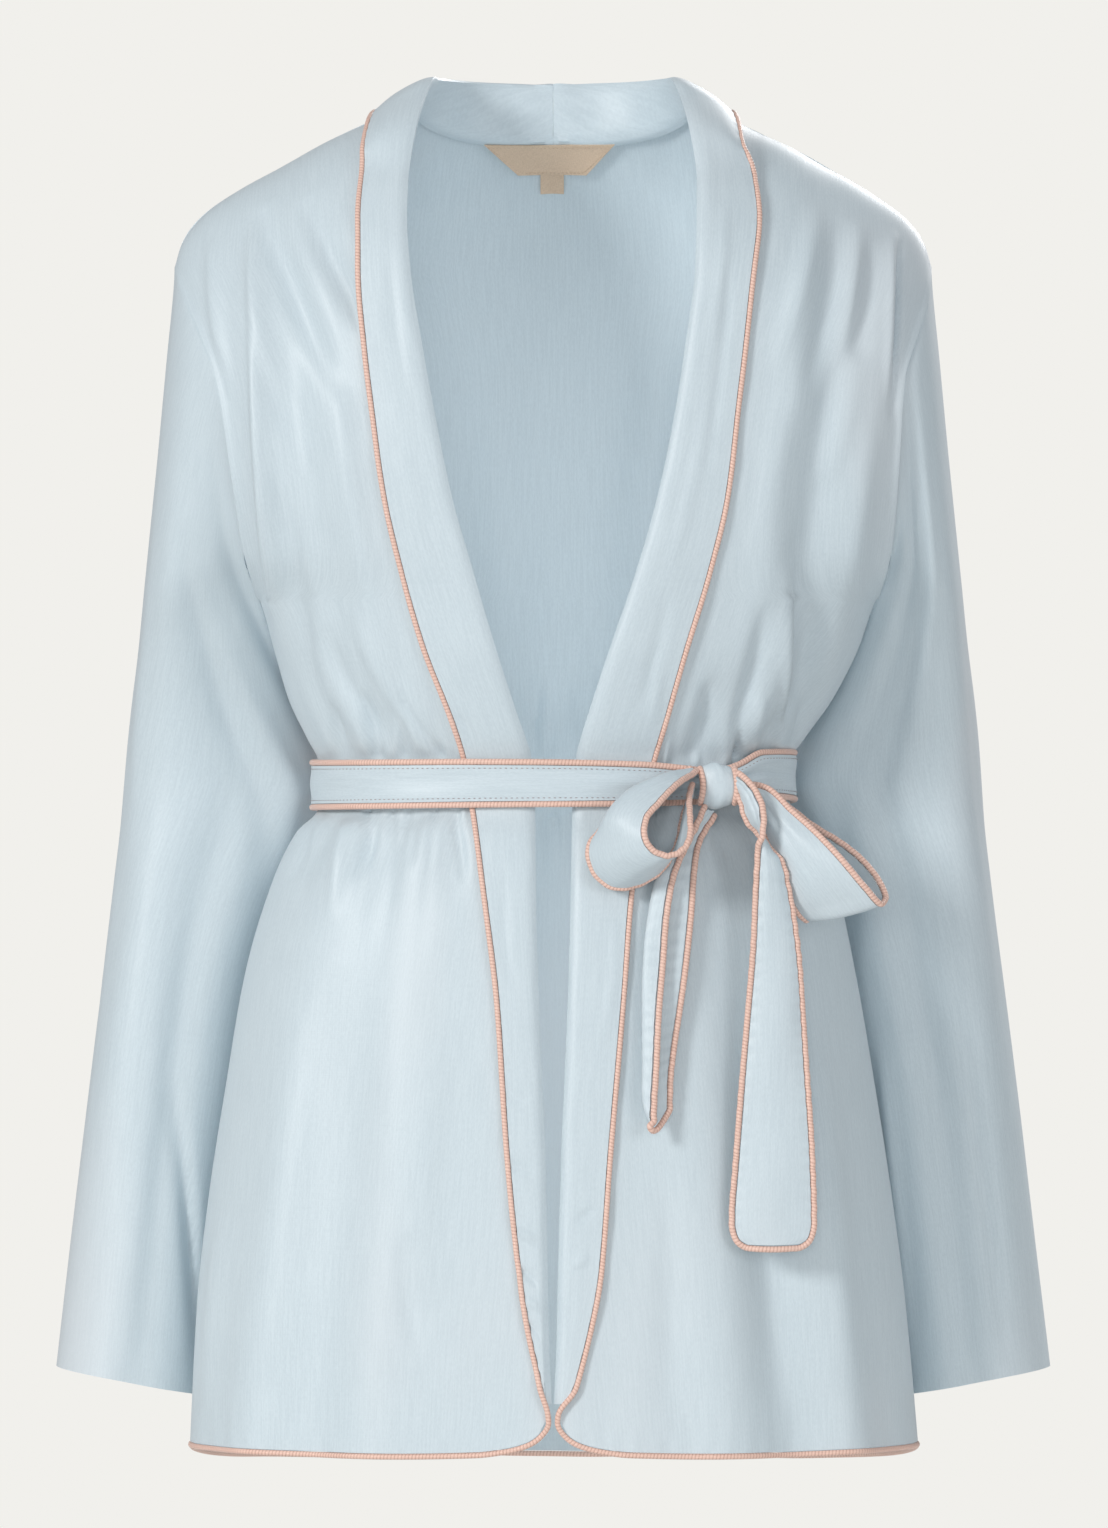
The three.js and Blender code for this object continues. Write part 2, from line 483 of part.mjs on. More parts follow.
// A round cord along a row of points, with flat ends
function cord(path, radius, sides = 6) {
  const last = path.length - 1;
  const tangents = path.map((_, index) => (
    path[Math.min(last, index + 1)].clone().sub(path[Math.max(0, index - 1)]).normalize()
  ));
  const start = Math.abs(tangents[0].z) < 0.8 ? new THREE.Vector3(0, 0, 1) : new THREE.Vector3(0, 1, 0);
  let across = start.cross(tangents[0]);
  const rings = path.map((point, index) => {
    across = across.clone().addScaledVector(tangents[index], -across.dot(tangents[index])).normalize();
    const other = tangents[index].clone().cross(across);
    return Array.from({ length: sides }, (_, side) => {
      const turn = (2 * Math.PI * (side + 0.5)) / sides;
      return point.clone().addScaledVector(across, radius * Math.cos(turn)).addScaledVector(other, radius * Math.sin(turn));
    });
  });
  const faces = [];
  for (let ring = 0; ring < last; ring += 1) {
    for (let side = 0; side < sides; side += 1) {
      const [a, b] = [ring * sides + side, ring * sides + ((side + 1) % sides)];
      faces.push([a, b, b + sides], [a, b + sides, a + sides]);
    }
  }
  const end = last * sides;
  for (let side = 1; side < sides - 1; side += 1) faces.push([0, side + 1, side], [end, end + side, end + side + 1]);
  return solid(rings.flat(), faces);
}

// Moves a row of edge points away from the cloth that they end, in the cloth's own surface
function besideEdge(edge, inside, distance) {
  const last = edge.length - 1;
  const steps = edge.slice(1).map((point, index) => point.clone().sub(edge[index]).normalize());
  return edge.map((point, index) => {
    const [before, after] = [steps[Math.max(0, index - 1)], steps[Math.min(last - 1, index)]];
    const tangent = before.clone().add(after).normalize();
    const away = point.clone().sub(inside[index]);
    away.addScaledVector(tangent, -away.dot(tangent)).normalize();
    return point.clone().addScaledVector(away, distance / Math.max(0.6, tangent.dot(after)));
  });
}

// Heights of a panel's rows in the column that starts at one height and ends at another
const columnHeights = (top, bottom) => [
  ...ARMHOLE_ROWS.map((share) => mix(top, UNDERARM_Z, share)),
  ...SIDE_ROWS,
  ...HEM_ROWS.map((share) => mix(SIDE_ROWS.at(-1), bottom, share)),
];

// Places on a front panel, as distance across and height, row by row
function frontPlaces(side) {
  return Array.from({ length: PANEL_ROWS }, (_, row) => FRONT_COLUMNS.map((share) => {
    const topX = mix(NECK_HALF_WIDTH + ROLL_REACH, SHOULDER_TIP, share);
    const across = (z) => (row > 0 ? mix(foldLine(side, z) + ROLL_REACH, panelSide(side, z), share) : topX);
    const height = (x) => columnHeights(crestHeight(topX), read(FRONT_HEM, "x", "z", x))[row];
    const x = across(height(across(height(topX))));
    return { x: side.sign * x, z: height(x) };
  }));
}

function backPlaces() {
  const columns = [...BACK_COLUMNS.slice(1).reverse().map((share) => -share), ...BACK_COLUMNS];
  return Array.from({ length: PANEL_ROWS }, (_, row) => columns.map((share) => {
    const topX = Math.abs(SHOULDER_TIP * share);
    const top = topX < NECK_HALF_WIDTH - 0.1 ? read(BACK_NECK, "x", "z", topX) : crestHeight(topX);
    const z = columnHeights(top, mix(BACK_HEM_Z, FRONT_HEM.at(-1).z, share ** 4))[row];
    return { x: share * panelSide(share < 0 ? SIDES.right : SIDES.left, z), z };
  }));
}

const layer = (places, face, lift) => places.map((row) => row.map(({ x, z }) => clothPoint(x, z, face, lift)));
const panel = (places, face) => wall(layer(places, face, 0), layer(places, face, CLOTH));

// The armhole's loop, from the shoulder down the front and up the back, with a gap at the seam.
// Towards the underarm the sleeve lies outside the panels, because both hang down from the seam.
function armholeLoop(side, frontGrid, backGrid) {
  const last = ARMHOLE_ROWS.length - 1;
  const seamPoint = (grid, row, column, inside, face) => {
    const place = (at) => clothPoint(grid[row][at].x, grid[row][at].z, face, CLOTH / 2);
    const away = place(column).sub(place(inside)).normalize();
    const outward = ((1 - Math.cos((Math.PI * row) / last)) / 2) ** 4;
    return place(column).addScaledVector(away, mix(SLEEVE_GAP, 0, outward))
      .addScaledVector(bodyNormal(grid[row][column].x, grid[row][column].z, face), outward * (CLOTH + SLEEVE_GAP));
  };
  const rows = Array.from({ length: last + 1 }, (_, row) => row);
  const edge = FRONT_COLUMNS.length - 1;
  const backEdge = side.sign < 0 ? 0 : backGrid[0].length - 1;
  const front = rows.map((row) => seamPoint(frontGrid, row, edge, edge - 1, FRONT));
  const back = rows.map((row) => seamPoint(backGrid, row, backEdge, backEdge - side.sign, BACK));
  const joined = (row) => mixPoints(front[row], back[row], 0.5);
  return [joined(0), ...front.slice(1, last), joined(last), ...back.slice(1, last).reverse()];
}

function sleeveFold(around, z) {
  let depth = 0;
  for (const fold of SLEEVE_FOLDS) {
    const share = (fold.fromZ - z) / (fold.fromZ - fold.toZ);
    if (share <= 0 || share >= 1) continue;
    depth += fold.depth * Math.sin(Math.PI * share) * Math.exp(-(((around - fold.around) / fold.width) ** 2));
  }
  return depth;
}

// One point of the free sleeve at a share of the turn from its outer side by way of the front
function sleevePoint(side, around, outerZ, innerZ) {
  const [cos, sin] = [Math.cos(2 * Math.PI * around), Math.sin(2 * Math.PI * around)];
  const z = mix(outerZ, innerZ, (1 - cos) / 2);
  const at = (column) => read(SLEEVE, "z", column, z);
  const [outer, inner, front, back] = [at("outer"), at(side.inner), at("front"), at("back")];
  const round = (Math.abs(cos) ** SQUARENESS + Math.abs(sin) ** SQUARENESS) ** (-1 / SQUARENESS);
  const [reach, depth] = [(outer - inner) / 2, (back - front) / 2];
  const swell = round * (1 + sleeveFold(around, z) / depth);
  return new THREE.Vector3(side.sign * (inner + reach + reach * cos * swell), front + depth - depth * sin * swell, z);
}

function sleeve(side, frontGrid, backGrid) {
  const loop = armholeLoop(side, frontGrid, backGrid);
  const rings = SLEEVE_ROWS.map(({ outerZ, innerZ, settled }) => loop.map((start, index) => (
    mixPoints(start, sleevePoint(side, index / loop.length, outerZ, innerZ), settled)
  )));
  return sheet([loop, ...rings], CLOTH, true);
}

// One cross-section of the collar: inner leg, roll and the leg that falls outside
function collarSection(side, row) {
  const x = side.sign * row.x;
  const seam = clothPoint(x, row.z, row.face);
  const normal = bodyNormal(x, row.z, row.face);
  const lean = Math.min(1, row.x / NECK_HALF_WIDTH);
  const step = row.roll ? { x: 4 * lean, z: -4 } : { x: 4, z: 0 };
  const away = clothPoint(x + side.sign * step.x, row.z + step.z, row.face).sub(seam).normalize();
  const from = (outward, lift) => seam.clone().addScaledVector(away, outward).addScaledVector(normal, lift);
  const placed = ([acrossX, y, z]) => new THREE.Vector3(side.sign * acrossX, y, z);
  const over = (share) => clothPoint(side.sign * mix(row.x, edgeLine(side, row.z), share), row.z, row.face, LAPEL_LIFT);
  const [root, bend] = row.roll ? [from(5, -1.8), from(-1.3, -2.1)] : [from(5, -1.7), from(1.5, -1.7)];
  const roll = row.roll ? placed(row.roll) : from(-ROLL_REACH, 0.8);
  const tip = row.roll ? placed(row.edge) : over(1);
  const legs = mixPoints(bend, tip, 0.5).sub(roll).normalize();
  const apart = tip.clone().sub(bend);
  apart.addScaledVector(legs, -apart.dot(legs)).normalize();
  const beside = (reach) => roll.clone().addScaledVector(legs, 2).addScaledVector(apart, reach);
  const fall = (share) => (row.roll
    ? mixPoints(beside(1.6), tip, share).addScaledVector(apart, 2.4 * Math.sin(Math.PI * share))
    : over(share));
  return [root, bend, beside(-1.6), roll, beside(1.6), fall(0.35), fall(0.7), tip];
}

function collarSections(side) {
  const heights = columnHeights(crestHeight(NECK_HALF_WIDTH + ROLL_REACH), 0).slice(FIRST_LAPEL_ROW, -HEM_ROWS.length);
  const lapel = [...heights, LAPEL_END_Z].map((z) => ({ face: FRONT, x: foldLine(side, z) + ROLL_REACH, z }));
  const sections = [...COLLAR, ...lapel].map((row) => collarSection(side, row));
  sections[0].forEach((point) => point.setX((side.sign * SEAM_GAP) / 2));
  return sections;
}

// Piping along the lapel, over the front's edge, round the corner and along the front hem
function edgePiping(side, frontGrid) {
  const sections = collarSections(side);
  const lapel = besideEdge(sections.map((row) => row.at(-1)), sections.map((row) => row.at(-2)),
    PIPING_RADIUS + SEAM_GAP);
  const beside = PIPING_RADIUS + SEAM_GAP + 0.1;
  const nearEdge = (outward, z, lift) => (
    clothPoint(side.sign * (foldLine(side, z) + ROLL_REACH + outward), z, FRONT, lift)
  );
  const turn = [nearEdge(2.8, -679, LAPEL_LIFT), nearEdge(-0.5, -687, LAPEL_LIFT), nearEdge(-beside, -694, 1.9)];
  const hemRow = frontGrid.at(-1);
  const hem = hemRow.map(({ x, z }) => clothPoint(x, z, FRONT, CLOTH / 2));
  const above = hemRow.map(({ x, z }) => (
    clothPoint(x + (Math.abs(x) < 20 ? 2.5 * side.sign : 0), z + 3, FRONT, CLOTH / 2)
  ));
  return cord([...lapel, ...turn, ...besideEdge(hem, above, beside)], PIPING_RADIUS);
}

function backHemPiping(backGrid) {
  const hemRow = backGrid.at(-1);
  const hem = hemRow.map(({ x, z }) => clothPoint(x, z, BACK, CLOTH / 2));
  const above = hemRow.map(({ x, z }) => clothPoint(x, z + 3, BACK, CLOTH / 2));
  return cord(besideEdge(hem, above, PIPING_RADIUS + SEAM_GAP + 0.1), PIPING_RADIUS);
}

// The waist as a loop: a point at a share of the turn that starts at the knot, runs over the front
// to the right side and comes back to the knot from the left side
function waistPoint(share, lift) {
  const angle = Math.asin(KNOT_TURN_X / halfWidth(SIDES.left, WAIST_Z)) - 2 * Math.PI * share;
  const face = Math.cos(angle) >= 0 ? FRONT : BACK;
  const x = Math.sin(angle) * halfWidth(Math.sin(angle) < 0 ? SIDES.right : SIDES.left, WAIST_Z);
  return bodyPoint(x, WAIST_Z, face).addScaledVector(bodyNormal(x, WAIST_Z, face), lift);
}

const knotCentre = () => waistPoint(0, BELT_LIFT + BELT_CLOTH / 2 + SEAM_GAP + KNOT.halfDepth);

// Grid of the belt's middle points, upper edge first
function beltGrid() {
  return Array.from({ length: BELT_STEPS + 1 }, (_, step) => {
    const share = step / BELT_STEPS;
    const point = waistPoint(mix(BELT_END_SHARE, 1 - BELT_END_SHARE, share), BELT_LIFT);
    const [z, half] = [read(BELT, "share", "z", share), read(BELT, "share", "half", share)];
    return [z + half, z, z - half].map((height) => point.clone().setZ(height));
  });
}

function beltPiping(grid, column) {
  const edge = grid.map((row) => row[column]);
  return cord(besideEdge(edge, grid.map((row) => row[1]), BELT_PIPING_RADIUS + SEAM_GAP), BELT_PIPING_RADIUS, 5);
}

function knot() {
  const geometry = new THREE.SphereGeometry(1, 14, 10);
  const position = geometry.getAttribute("position");
  const centre = knotCentre();
  const swell = (value) => Math.sign(value) * Math.abs(value) ** KNOT.squareness;
  for (let index = 0; index < position.count; index += 1) {
    const place = new THREE.Vector3().fromBufferAttribute(position, index);
    position.setXYZ(index, centre.x - swell(place.x) * KNOT.halfWidth, centre.y + swell(place.z) * KNOT.halfDepth,
      centre.z + swell(place.y) * KNOT.halfHeight);
  }
  return geometry;
}

// Cord over the front of the knot, beside its right or left edge
function knotPiping(sign) {
  const centre = knotCentre();
  const size = [KNOT.halfWidth, KNOT.halfDepth, KNOT.halfHeight];
  const path = [-1, -0.6, -0.2, 0.2, 0.6, 1].map((share) => {
    const turn = (share * Math.PI) / 2.6;
    const ball = [sign * KNOT_CORD_REACH, -KNOT_CORD_RING * Math.cos(turn), KNOT_CORD_RING * Math.sin(turn)];
    const raised = (power, scale) => vector(ball.map((value, axis) => (
      Math.sign(value) * Math.abs(value) ** power * size[axis] ** scale
    )));
    const outward = raised(2 - KNOT.squareness, -1).normalize();
    return centre.clone().add(raised(KNOT.squareness, 1)).addScaledVector(outward, BELT_PIPING_RADIUS + SEAM_GAP);
  });
  return cord(path, BELT_PIPING_RADIUS, 5);
}

// Grid of a ribbon's middle points, across it through the near edge, the middle and the other edge
function ribbonGrid(stations) {
  return stations.map(({ near, middle, far }) => {
    const [start, centre, end] = [vector(near), vector(middle), vector(far)];
    const pull = centre.clone().multiplyScalar(2).sub(mixPoints(start, end, 0.5));
    return [0, 0.25, 0.5, 0.75, 1].map((share) => (
      mixPoints(mixPoints(start, pull, share), mixPoints(pull, end, share), share)
    ));
  });
}

function loopPiping(grid, column) {
  const inside = column === 0 ? 1 : column - 1;
  const edge = grid.map((row) => row[column]);
  return cord(besideEdge(edge, grid.map((row) => row[inside]), BELT_PIPING_RADIUS + SEAM_GAP), BELT_PIPING_RADIUS, 5);
}

// Piping down one edge of a hanging end, across its tip and up the other edge
function endPiping(grid) {
  const last = grid.length - 1;
  const across = grid[0].length - 1;
  const inside = (row, column) => grid[row === last ? last - 1 : row][Math.min(across - 1, Math.max(1, column))];
  const rim = [
    ...grid.map((_, row) => [row, 0]),
    ...grid[last].slice(1, across).map((_, column) => [last, column + 1]),
    ...grid.map((_, row) => [last - row, across]),
  ];
  const edge = rim.map(([row, column]) => grid[row][column]);
  const distance = BELT_PIPING_RADIUS + SEAM_GAP + 0.5;
  const path = besideEdge(edge, rim.map(([row, column]) => inside(row, column)), distance);
  return cord(path, BELT_PIPING_RADIUS, 5);
}

// A small flat piece inside the back neck
function neckPiece(shape) {
  const [rows, columns] = [2, 6];
  const place = (row, column, lift) => {
    const [down, across] = [row / rows, column / columns];
    const x = mix(mix(shape.topLeft, shape.bottomLeft, down), mix(shape.topRight, shape.bottomRight, down), across);
    return clothPoint(x, mix(shape.top, shape.bottom, down), BACK, shape.lift + lift);
  };
  const grid = (lift) => Array.from({ length: rows + 1 }, (_, row) => (
    Array.from({ length: columns + 1 }, (__, column) => place(row, column, lift))
  ));
  return wall(grid(-LABEL_CLOTH / 2), grid(LABEL_CLOTH / 2));
}

const robe = new THREE.Group();

function add(name, geometry, finish) {
  const mesh = new THREE.Mesh(geometry, new THREE.MeshStandardMaterial(finish));
  mesh.name = name;
  robe.add(mesh);
}

const backGrid = backPlaces();
add("back", panel(backGrid, BACK), SATIN);
for (const [name, side] of Object.entries(SIDES)) {
  const frontGrid = frontPlaces(side);
  add(`front_${name}`, panel(frontGrid, FRONT), SATIN);
  add(`sleeve_${name}`, sleeve(side, frontGrid, backGrid), SATIN);
  add(`collar_${name}`, sheet(collarSections(side), CLOTH), SATIN);
  add(`edge_piping_${name}`, edgePiping(side, frontGrid), PIPING);
}
add("back_hem_piping", backHemPiping(backGrid), PIPING);

const belt = beltGrid();
add("belt_band", sheet(belt, BELT_CLOTH), SATIN);
add("belt_piping_upper", beltPiping(belt, 0), PIPING);
add("belt_piping_lower", beltPiping(belt, 2), PIPING);
add("belt_knot", knot(), SATIN);
add("knot_piping_right", knotPiping(-1), PIPING);
add("knot_piping_left", knotPiping(1), PIPING);

for (const [name, stations] of Object.entries({ right: BOW_LOOP_RIGHT, left: BOW_LOOP_LEFT })) {
  const grid = ribbonGrid(stations);
  add(`bow_loop_${name}`, sheet(grid, BELT_CLOTH), SATIN);
  add(`loop_piping_${name}_near`, loopPiping(grid, 0), PIPING);
  add(`loop_piping_${name}_far`, loopPiping(grid, grid[0].length - 1), PIPING);
}
for (const [name, stations] of Object.entries({ right: BELT_END_RIGHT, left: BELT_END_LEFT })) {
  const grid = ribbonGrid(stations);
  add(`belt_end_${name}`, sheet(grid, BELT_CLOTH), SATIN);
  add(`end_piping_${name}`, endPiping(grid), PIPING);
}

add("neck_label", neckPiece(NECK_LABEL), LABEL);
add("size_tab", neckPiece(SIZE_TAB), LABEL);

export default robe;
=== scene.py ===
"""Looks of a short kimono robe in pale blue satin, with peach piping and a belt tied in a side bow.

Lengths in the tables are millimetres, +Z up. The wearer faces -Y, with the right side at -X.
"""
import math

import bpy
import numpy as np
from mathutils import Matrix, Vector


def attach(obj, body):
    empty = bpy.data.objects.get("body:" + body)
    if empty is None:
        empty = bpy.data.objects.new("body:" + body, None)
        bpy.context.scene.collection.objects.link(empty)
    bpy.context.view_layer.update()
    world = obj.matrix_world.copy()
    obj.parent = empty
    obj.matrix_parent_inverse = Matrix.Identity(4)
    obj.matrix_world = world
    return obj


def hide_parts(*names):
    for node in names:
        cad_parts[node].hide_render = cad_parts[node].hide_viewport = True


MM = 0.001
RIGHT, LEFT = -1, 1
FRONT, BACK = -1, 1
SIDE_NAMES = {RIGHT: "right", LEFT: "left"}

# Driving sizes
CLOTH = 1.0
CLOTH_LIFT = 0.3
COLLAR_CLOTH = 1.2
BELT_CLOTH = 1.6
LABEL_CLOTH = 0.7
LABEL_SINK = 0.35
SEAM_GAP = 0.04
KNOT_GAP = 0.3
SLEEVE_GAP = 0.3
UNDERARM_LIFT = 1.6
SLEEVE_ROUND = 260
PIPING_RADIUS = 1.5
BELT_PIPING_RADIUS = 1.7
UNDERARM_Z = -257
SIDE_END_Z = -645
WAIST_Z = -358
BACK_HEM_Z = -726
SIDE_HEM_Z = -715.5
FRONT_FOOT_Z = -716.0
CORNER_Z = -700.0
NECK_HALF_WIDTH = 76
SHOULDER_TIP = 205.5
CREST_RADIUS = 90
SQUARENESS = 2.2
ROLL_REACH = 2.8
LAPEL_LIFT = 3.7
LAPEL_END_Z = -691
BELT_LIFT = 7.6
BELT_SIDE_X = 136
BELT_SIDE_PULL = 3.6
KNOT_TURN_X = 80
HEM_PUCKER = 11
CREASE_WIDTH = 0.8
CREASE_DEPTH = 1.2
FLOOR_RADIUS = 1250
FLOOR_Z = -862

# Camera and inner lights, in metres and the lens in millimetres
CAMERA_PLACE = (0.0005, -9, -0.3462)
CAMERA_LENS = 258.9
INNER_LIGHT_Y = -0.06
INNER_LIGHT_WIDTH = 0.15


def rows(names, *values):
    """A short table: one row for each section or fold, with named columns."""
    return [dict(zip(names.split(), row)) for row in values]


# Body under the cloth
BODY = rows(
    "z right left front back",
    (30, 212, 212, 64, 78), (-40, 212, 212, 84, 92), (-100, 212, 213, 97, 102), (-137, 213, 214, 102, 104),
    (-186, 206, 209, 107, 103), (-229, 182, 194, 107, 101), (-257, 159, 175, 106, 99),
    (-284, 151, 165, 104, 96),
    (-311, 143, 151, 99, 92), (-332, 133, 136, 93, 87), (-345, 127, 128, 88.5, 84.5),
    (-371, 127, 128, 88.5, 84.5), (-384, 139, 141, 93, 90), (-408, 151, 152, 99, 97),
    (-461, 167, 164, 107, 106),
    (-519, 177, 174, 112, 112), (-584, 187, 184, 116, 116), (-639, 193, 191, 119, 119),
    (-740, 198, 200, 122, 122),
)
CREST = rows(
    "x z", (0, 24), (60, 20), (76, 14), (96, 5), (119, -6), (149, -22), (169, -33), (186, -44), (196, -54),
    (202, -64), (205.5, -76),
)
BACK_NECK = rows("x z", (0, -2), (26, -2), (51, 1.5), (66, 7), (72.5, 11), (76, 14))
ARMHOLE = rows(
    "z right left", (-76, 205.5, 205.5), (-92, 199, 203), (-112, 190.5, 197), (-137, 181.5, 189.5),
    (-186, 173.5, 186), (-229, 166.5, 182), (-257, 159, 175),
)
OPENING = rows(
    "z fold_right fold_left edge_right edge_left",
    (14, 76, 76, 95, 96), (-9, 76, 76, 98, 101), (-27, 78, 78, 101, 106), (-52, 79, 78, 103, 109),
    (-81, 77, 77, 103, 106), (-119, 71, 72, 100, 102), (-152, 65, 67, 96, 98), (-201, 55, 57, 89, 92),
    (-243, 43, 45, 79, 82), (-284, 31, 31, 67, 69.5), (-324, 18, 18, 51.5, 58), (-342, 12, 13, 46, 52.5),
    (-370, 10, 11, 41.5, 47), (-420, 9.5, 10, 35, 40), (-474, 8, 8.5, 28.5, 36), (-557, 4.5, 5, 23, 29),
    (-622, 3.2, 3.2, 16.5, 24), (-654, 2.6, 2.4, 11.5, 18), (-668, 2.2, 2, 8.4, 14.5), (-686, 1.4, 1.2, 5, 9.5),
    (-697, 1, 1, 4, 5), (-730, 1, 1, 4, 4),
)
FRONT_HEM = rows(
    "x z", (0, -694), (4, -700), (8, -707.5), (15, -712), (26, -715), (42, -717), (90, -718), (150, -717),
    (205, -715.5),
)

# Sleeves: rows from the armhole down, then the free sleeve's sides by height
SLEEVE_ROWS = rows(
    "row outer inner settled",
    (0, -72, -257, 0), (1, -90, -266, 0.15), (2, -112, -276, 0.32), (3, -140, -288, 0.5), (4, -175, -302, 0.7),
    (5, -216, -318, 0.86), (6, -262, -338, 0.96), (7, -310, -362, 1), (8, -362, -394, 1), (9, -416, -436, 1),
    (10, -472, -486, 1), (11, -530, -542, 1), (12, -588, -600, 1), (13, -636, -650, 1), (14, -677, -693, 1),
)
ARMHOLE_ROWS = rows(
    "row share", (0, 0), (1, 0.025), (2, 0.076), (3, 0.146), (4, 0.23), (5, 0.33), (6, 0.44), (7, 0.565),
    (8, 0.7), (9, 0.845), (10, 1),
)
SLEEVE = rows(
    "z outer inner_right inner_left front back",
    (-60, 205.5, 152, 165, -60, 60), (-93, 206.5, 154, 168, -62, 62), (-158, 213.5, 160, 174, -58, 66),
    (-202, 218, 163, 178, -46, 73), (-257, 224, 164, 181, -26, 86), (-284, 227, 151, 168, -4, 94),
    (-311, 230.5, 138, 150, 12, 101), (-335, 233, 129, 133, 20, 105), (-358, 235, 123, 124, 24, 108),
    (-380, 237, 131, 133, 25, 109), (-408, 240.5, 144, 145, 25, 111), (-461, 247, 160, 157, 24, 113),
    (-520, 254, 170, 167, 23, 114), (-620, 266, 184, 182, 21, 114), (-700, 275.5, 191, 191, 19, 112),
)

# Collar round the neck: where its inner leg meets the panel, the top of the roll and the piped edge
COLLAR = rows(
    "face x z roll edge",
    (BACK, 0, -2, (0, 66, 27), (0, 84, -13)), (BACK, 26, -2, (25, 63, 27.5), (34, 80, -11)),
    (BACK, 51, 1.5, (46, 50, 28), (65, 61, -3)), (BACK, 66, 7, (58, 31, 28.5), (84, 36, 6)),
    (BACK, 72.5, 11, (63, 14, 28.5), (93, 16, 10)), (BACK, 76, 13.9, (64.6, 2, 28.3), (95.6, 3, 11.2)),
    (FRONT, 78.8, 12.6, (66, -8, 26.5), (96.8, -9, 10)), (FRONT, 78.8, 6.1, (69.5, -23, 18), (99, -25, 4.5)),
    (FRONT, 78.8, -7.6, (74.5, -48, -1), (102, -47, -10)),
)

# Large folds of the panels, shared with the solids. A depth above zero is a ridge.
FOLD_COLUMNS = "from_x from_z to_x to_z width depth"
FRONT_FOLDS = {
    RIGHT: rows(
        FOLD_COLUMNS, (170, -70, 146, -352, 10, 6), (146, -50, 128, -352, 11, -4), (126, -80, 84, -352, 12, 4),
        (120, -370, 206, -1050, 15, 5), (92, -370, 170, -1050, 17, -5), (66, -370, 122, -1050, 18, 3.5),
    ),
    LEFT: rows(
        FOLD_COLUMNS, (188, -100, 146, -350, 11, 6), (168, -40, 120, -348, 11, -5), (140, -60, 100, -352, 11, 5),
        (118, -370, 204, -1050, 14, 6), (90, -370, 166, -1050, 16, -5), (64, -370, 124, -1050, 17, 4),
    ),
}
BACK_FOLDS = rows(
    FOLD_COLUMNS, (-150, -60, -124, -352, 13, 5), (-104, -60, -78, -352, 15, -4), (-30, -90, -26, -352, 18, 3),
    (60, -80, 46, -352, 16, -4), (138, -60, 112, -352, 14, 5), (-104, -366, -196, -1060, 18, 7),
    (-64, -366, -118, -1060, 19, -6), (-24, -366, -44, -1060, 18, 6), (16, -366, 26, -1060, 17, -5),
    (54, -366, 100, -1060, 19, 7), (92, -366, 172, -1060, 19, -6),
)

# Creases: from one place to another, bowed sideways, with the outer flank as steep as steep says
CREASE_COLUMNS = "from_x from_z to_x to_z bow width steep depth"
FRONT_CREASES = {
    RIGHT: rows(
        CREASE_COLUMNS,
        (163, -52, 147, -300, 3, 8, 0.4, 3.4), (152, -150, 119, -336, -4, 9, 0.7, 3),
        (158, -44, 112, -150, 3, 11, 0.8, -5), (134, -40, 100, -112, 2, 10, 0.8, -4.4),
        (166, -60, 146, -150, 2, 7, 0.8, 2),
        (186, -60, 176, -150, 2, 7, 0.6, 2.2), (125, -272, 86, -339, 3, 7, 0.8, -3),
        (109, -258, 66, -339, 4, 7, 1, 2.2),
        (104, -306, 93, -345, 0, 3.4, 1, -2.6), (82, -306, 57, -345, 2, 3.4, 1, -2.6),
        (85, -322, 86, -344, 0, 3.6, 1, 2.2),
        (120, -312, 113, -345, 0, 4, 1, -2.2), (95, -369, 108, -408, -2, 4, 0.8, -2.8),
        (53, -369, 48, -410, 0, 3.6, 0.8, -2.2),
        (132, -372, 143, -412, -2, 4.5, 0.8, -2.6), (112, -372, 121, -432, -2, 5, 1, 2),
        (73, -369, 76, -402, 0, 4, 1, -1.8),
        (80, -600, 72, -668, 2, 7, 0.8, -1.6), (180, -590, 191, -700, 0, 8, 0.7, 2.2),
        (122, -455, 139, -650, 0, 14, 1, -1.8),
        (60, -480, 70, -640, 3, 12, 1, 1.4),
    ),
    LEFT: rows(
        CREASE_COLUMNS,
        (128, -236, 122, -338, 1, 10, 0.3, 6), (142, -258, 134, -342, 2, 10, 1, -8),
        (113, -258, 92, -342, 4, 6, 1, -3.4),
        (100, -328, 99, -348, 0, 2.6, 1, -2.6), (111, -308, 108, -342, 0, 4, 1, 2.6),
        (84, -300, 74, -345, 2, 5, 1, -2.6),
        (122, -290, 117, -345, 1, 4, 0.8, -2.4), (143, -42, 119, -134, 2, 8, 1, 2.6),
        (155, -50, 137, -144, 2, 8, 1, -3),
        (166, -50, 154, -134, 2, 7, 1, 2.6), (173, -62, 165, -128, 1, 7, 1, -2.8),
        (185, -56, 183, -150, 0, 5, 0.6, 3),
        (188, -62, 184, -160, 0, 3.4, 0.5, -5.5), (163, -120, 148, -196, 2, 9, 1, 2.2),
        (130, -150, 112, -250, 3, 12, 1, -2.2),
        (60, -372, 66, -420, 0, 5, 1, -2.4), (112, -374, 124, -440, 0, 5, 0.8, -2.8),
        (134, -376, 146, -420, 0, 5, 0.8, -2.6),
        (84, -372, 90, -412, 0, 5, 1, 2.2), (142, -500, 158, -690, 0, 13, 0.8, 2.2),
        (112, -520, 122, -700, 2, 13, 1, -2),
        (60, -560, 62, -700, 2, 10, 1, -1.6),
    ),
}
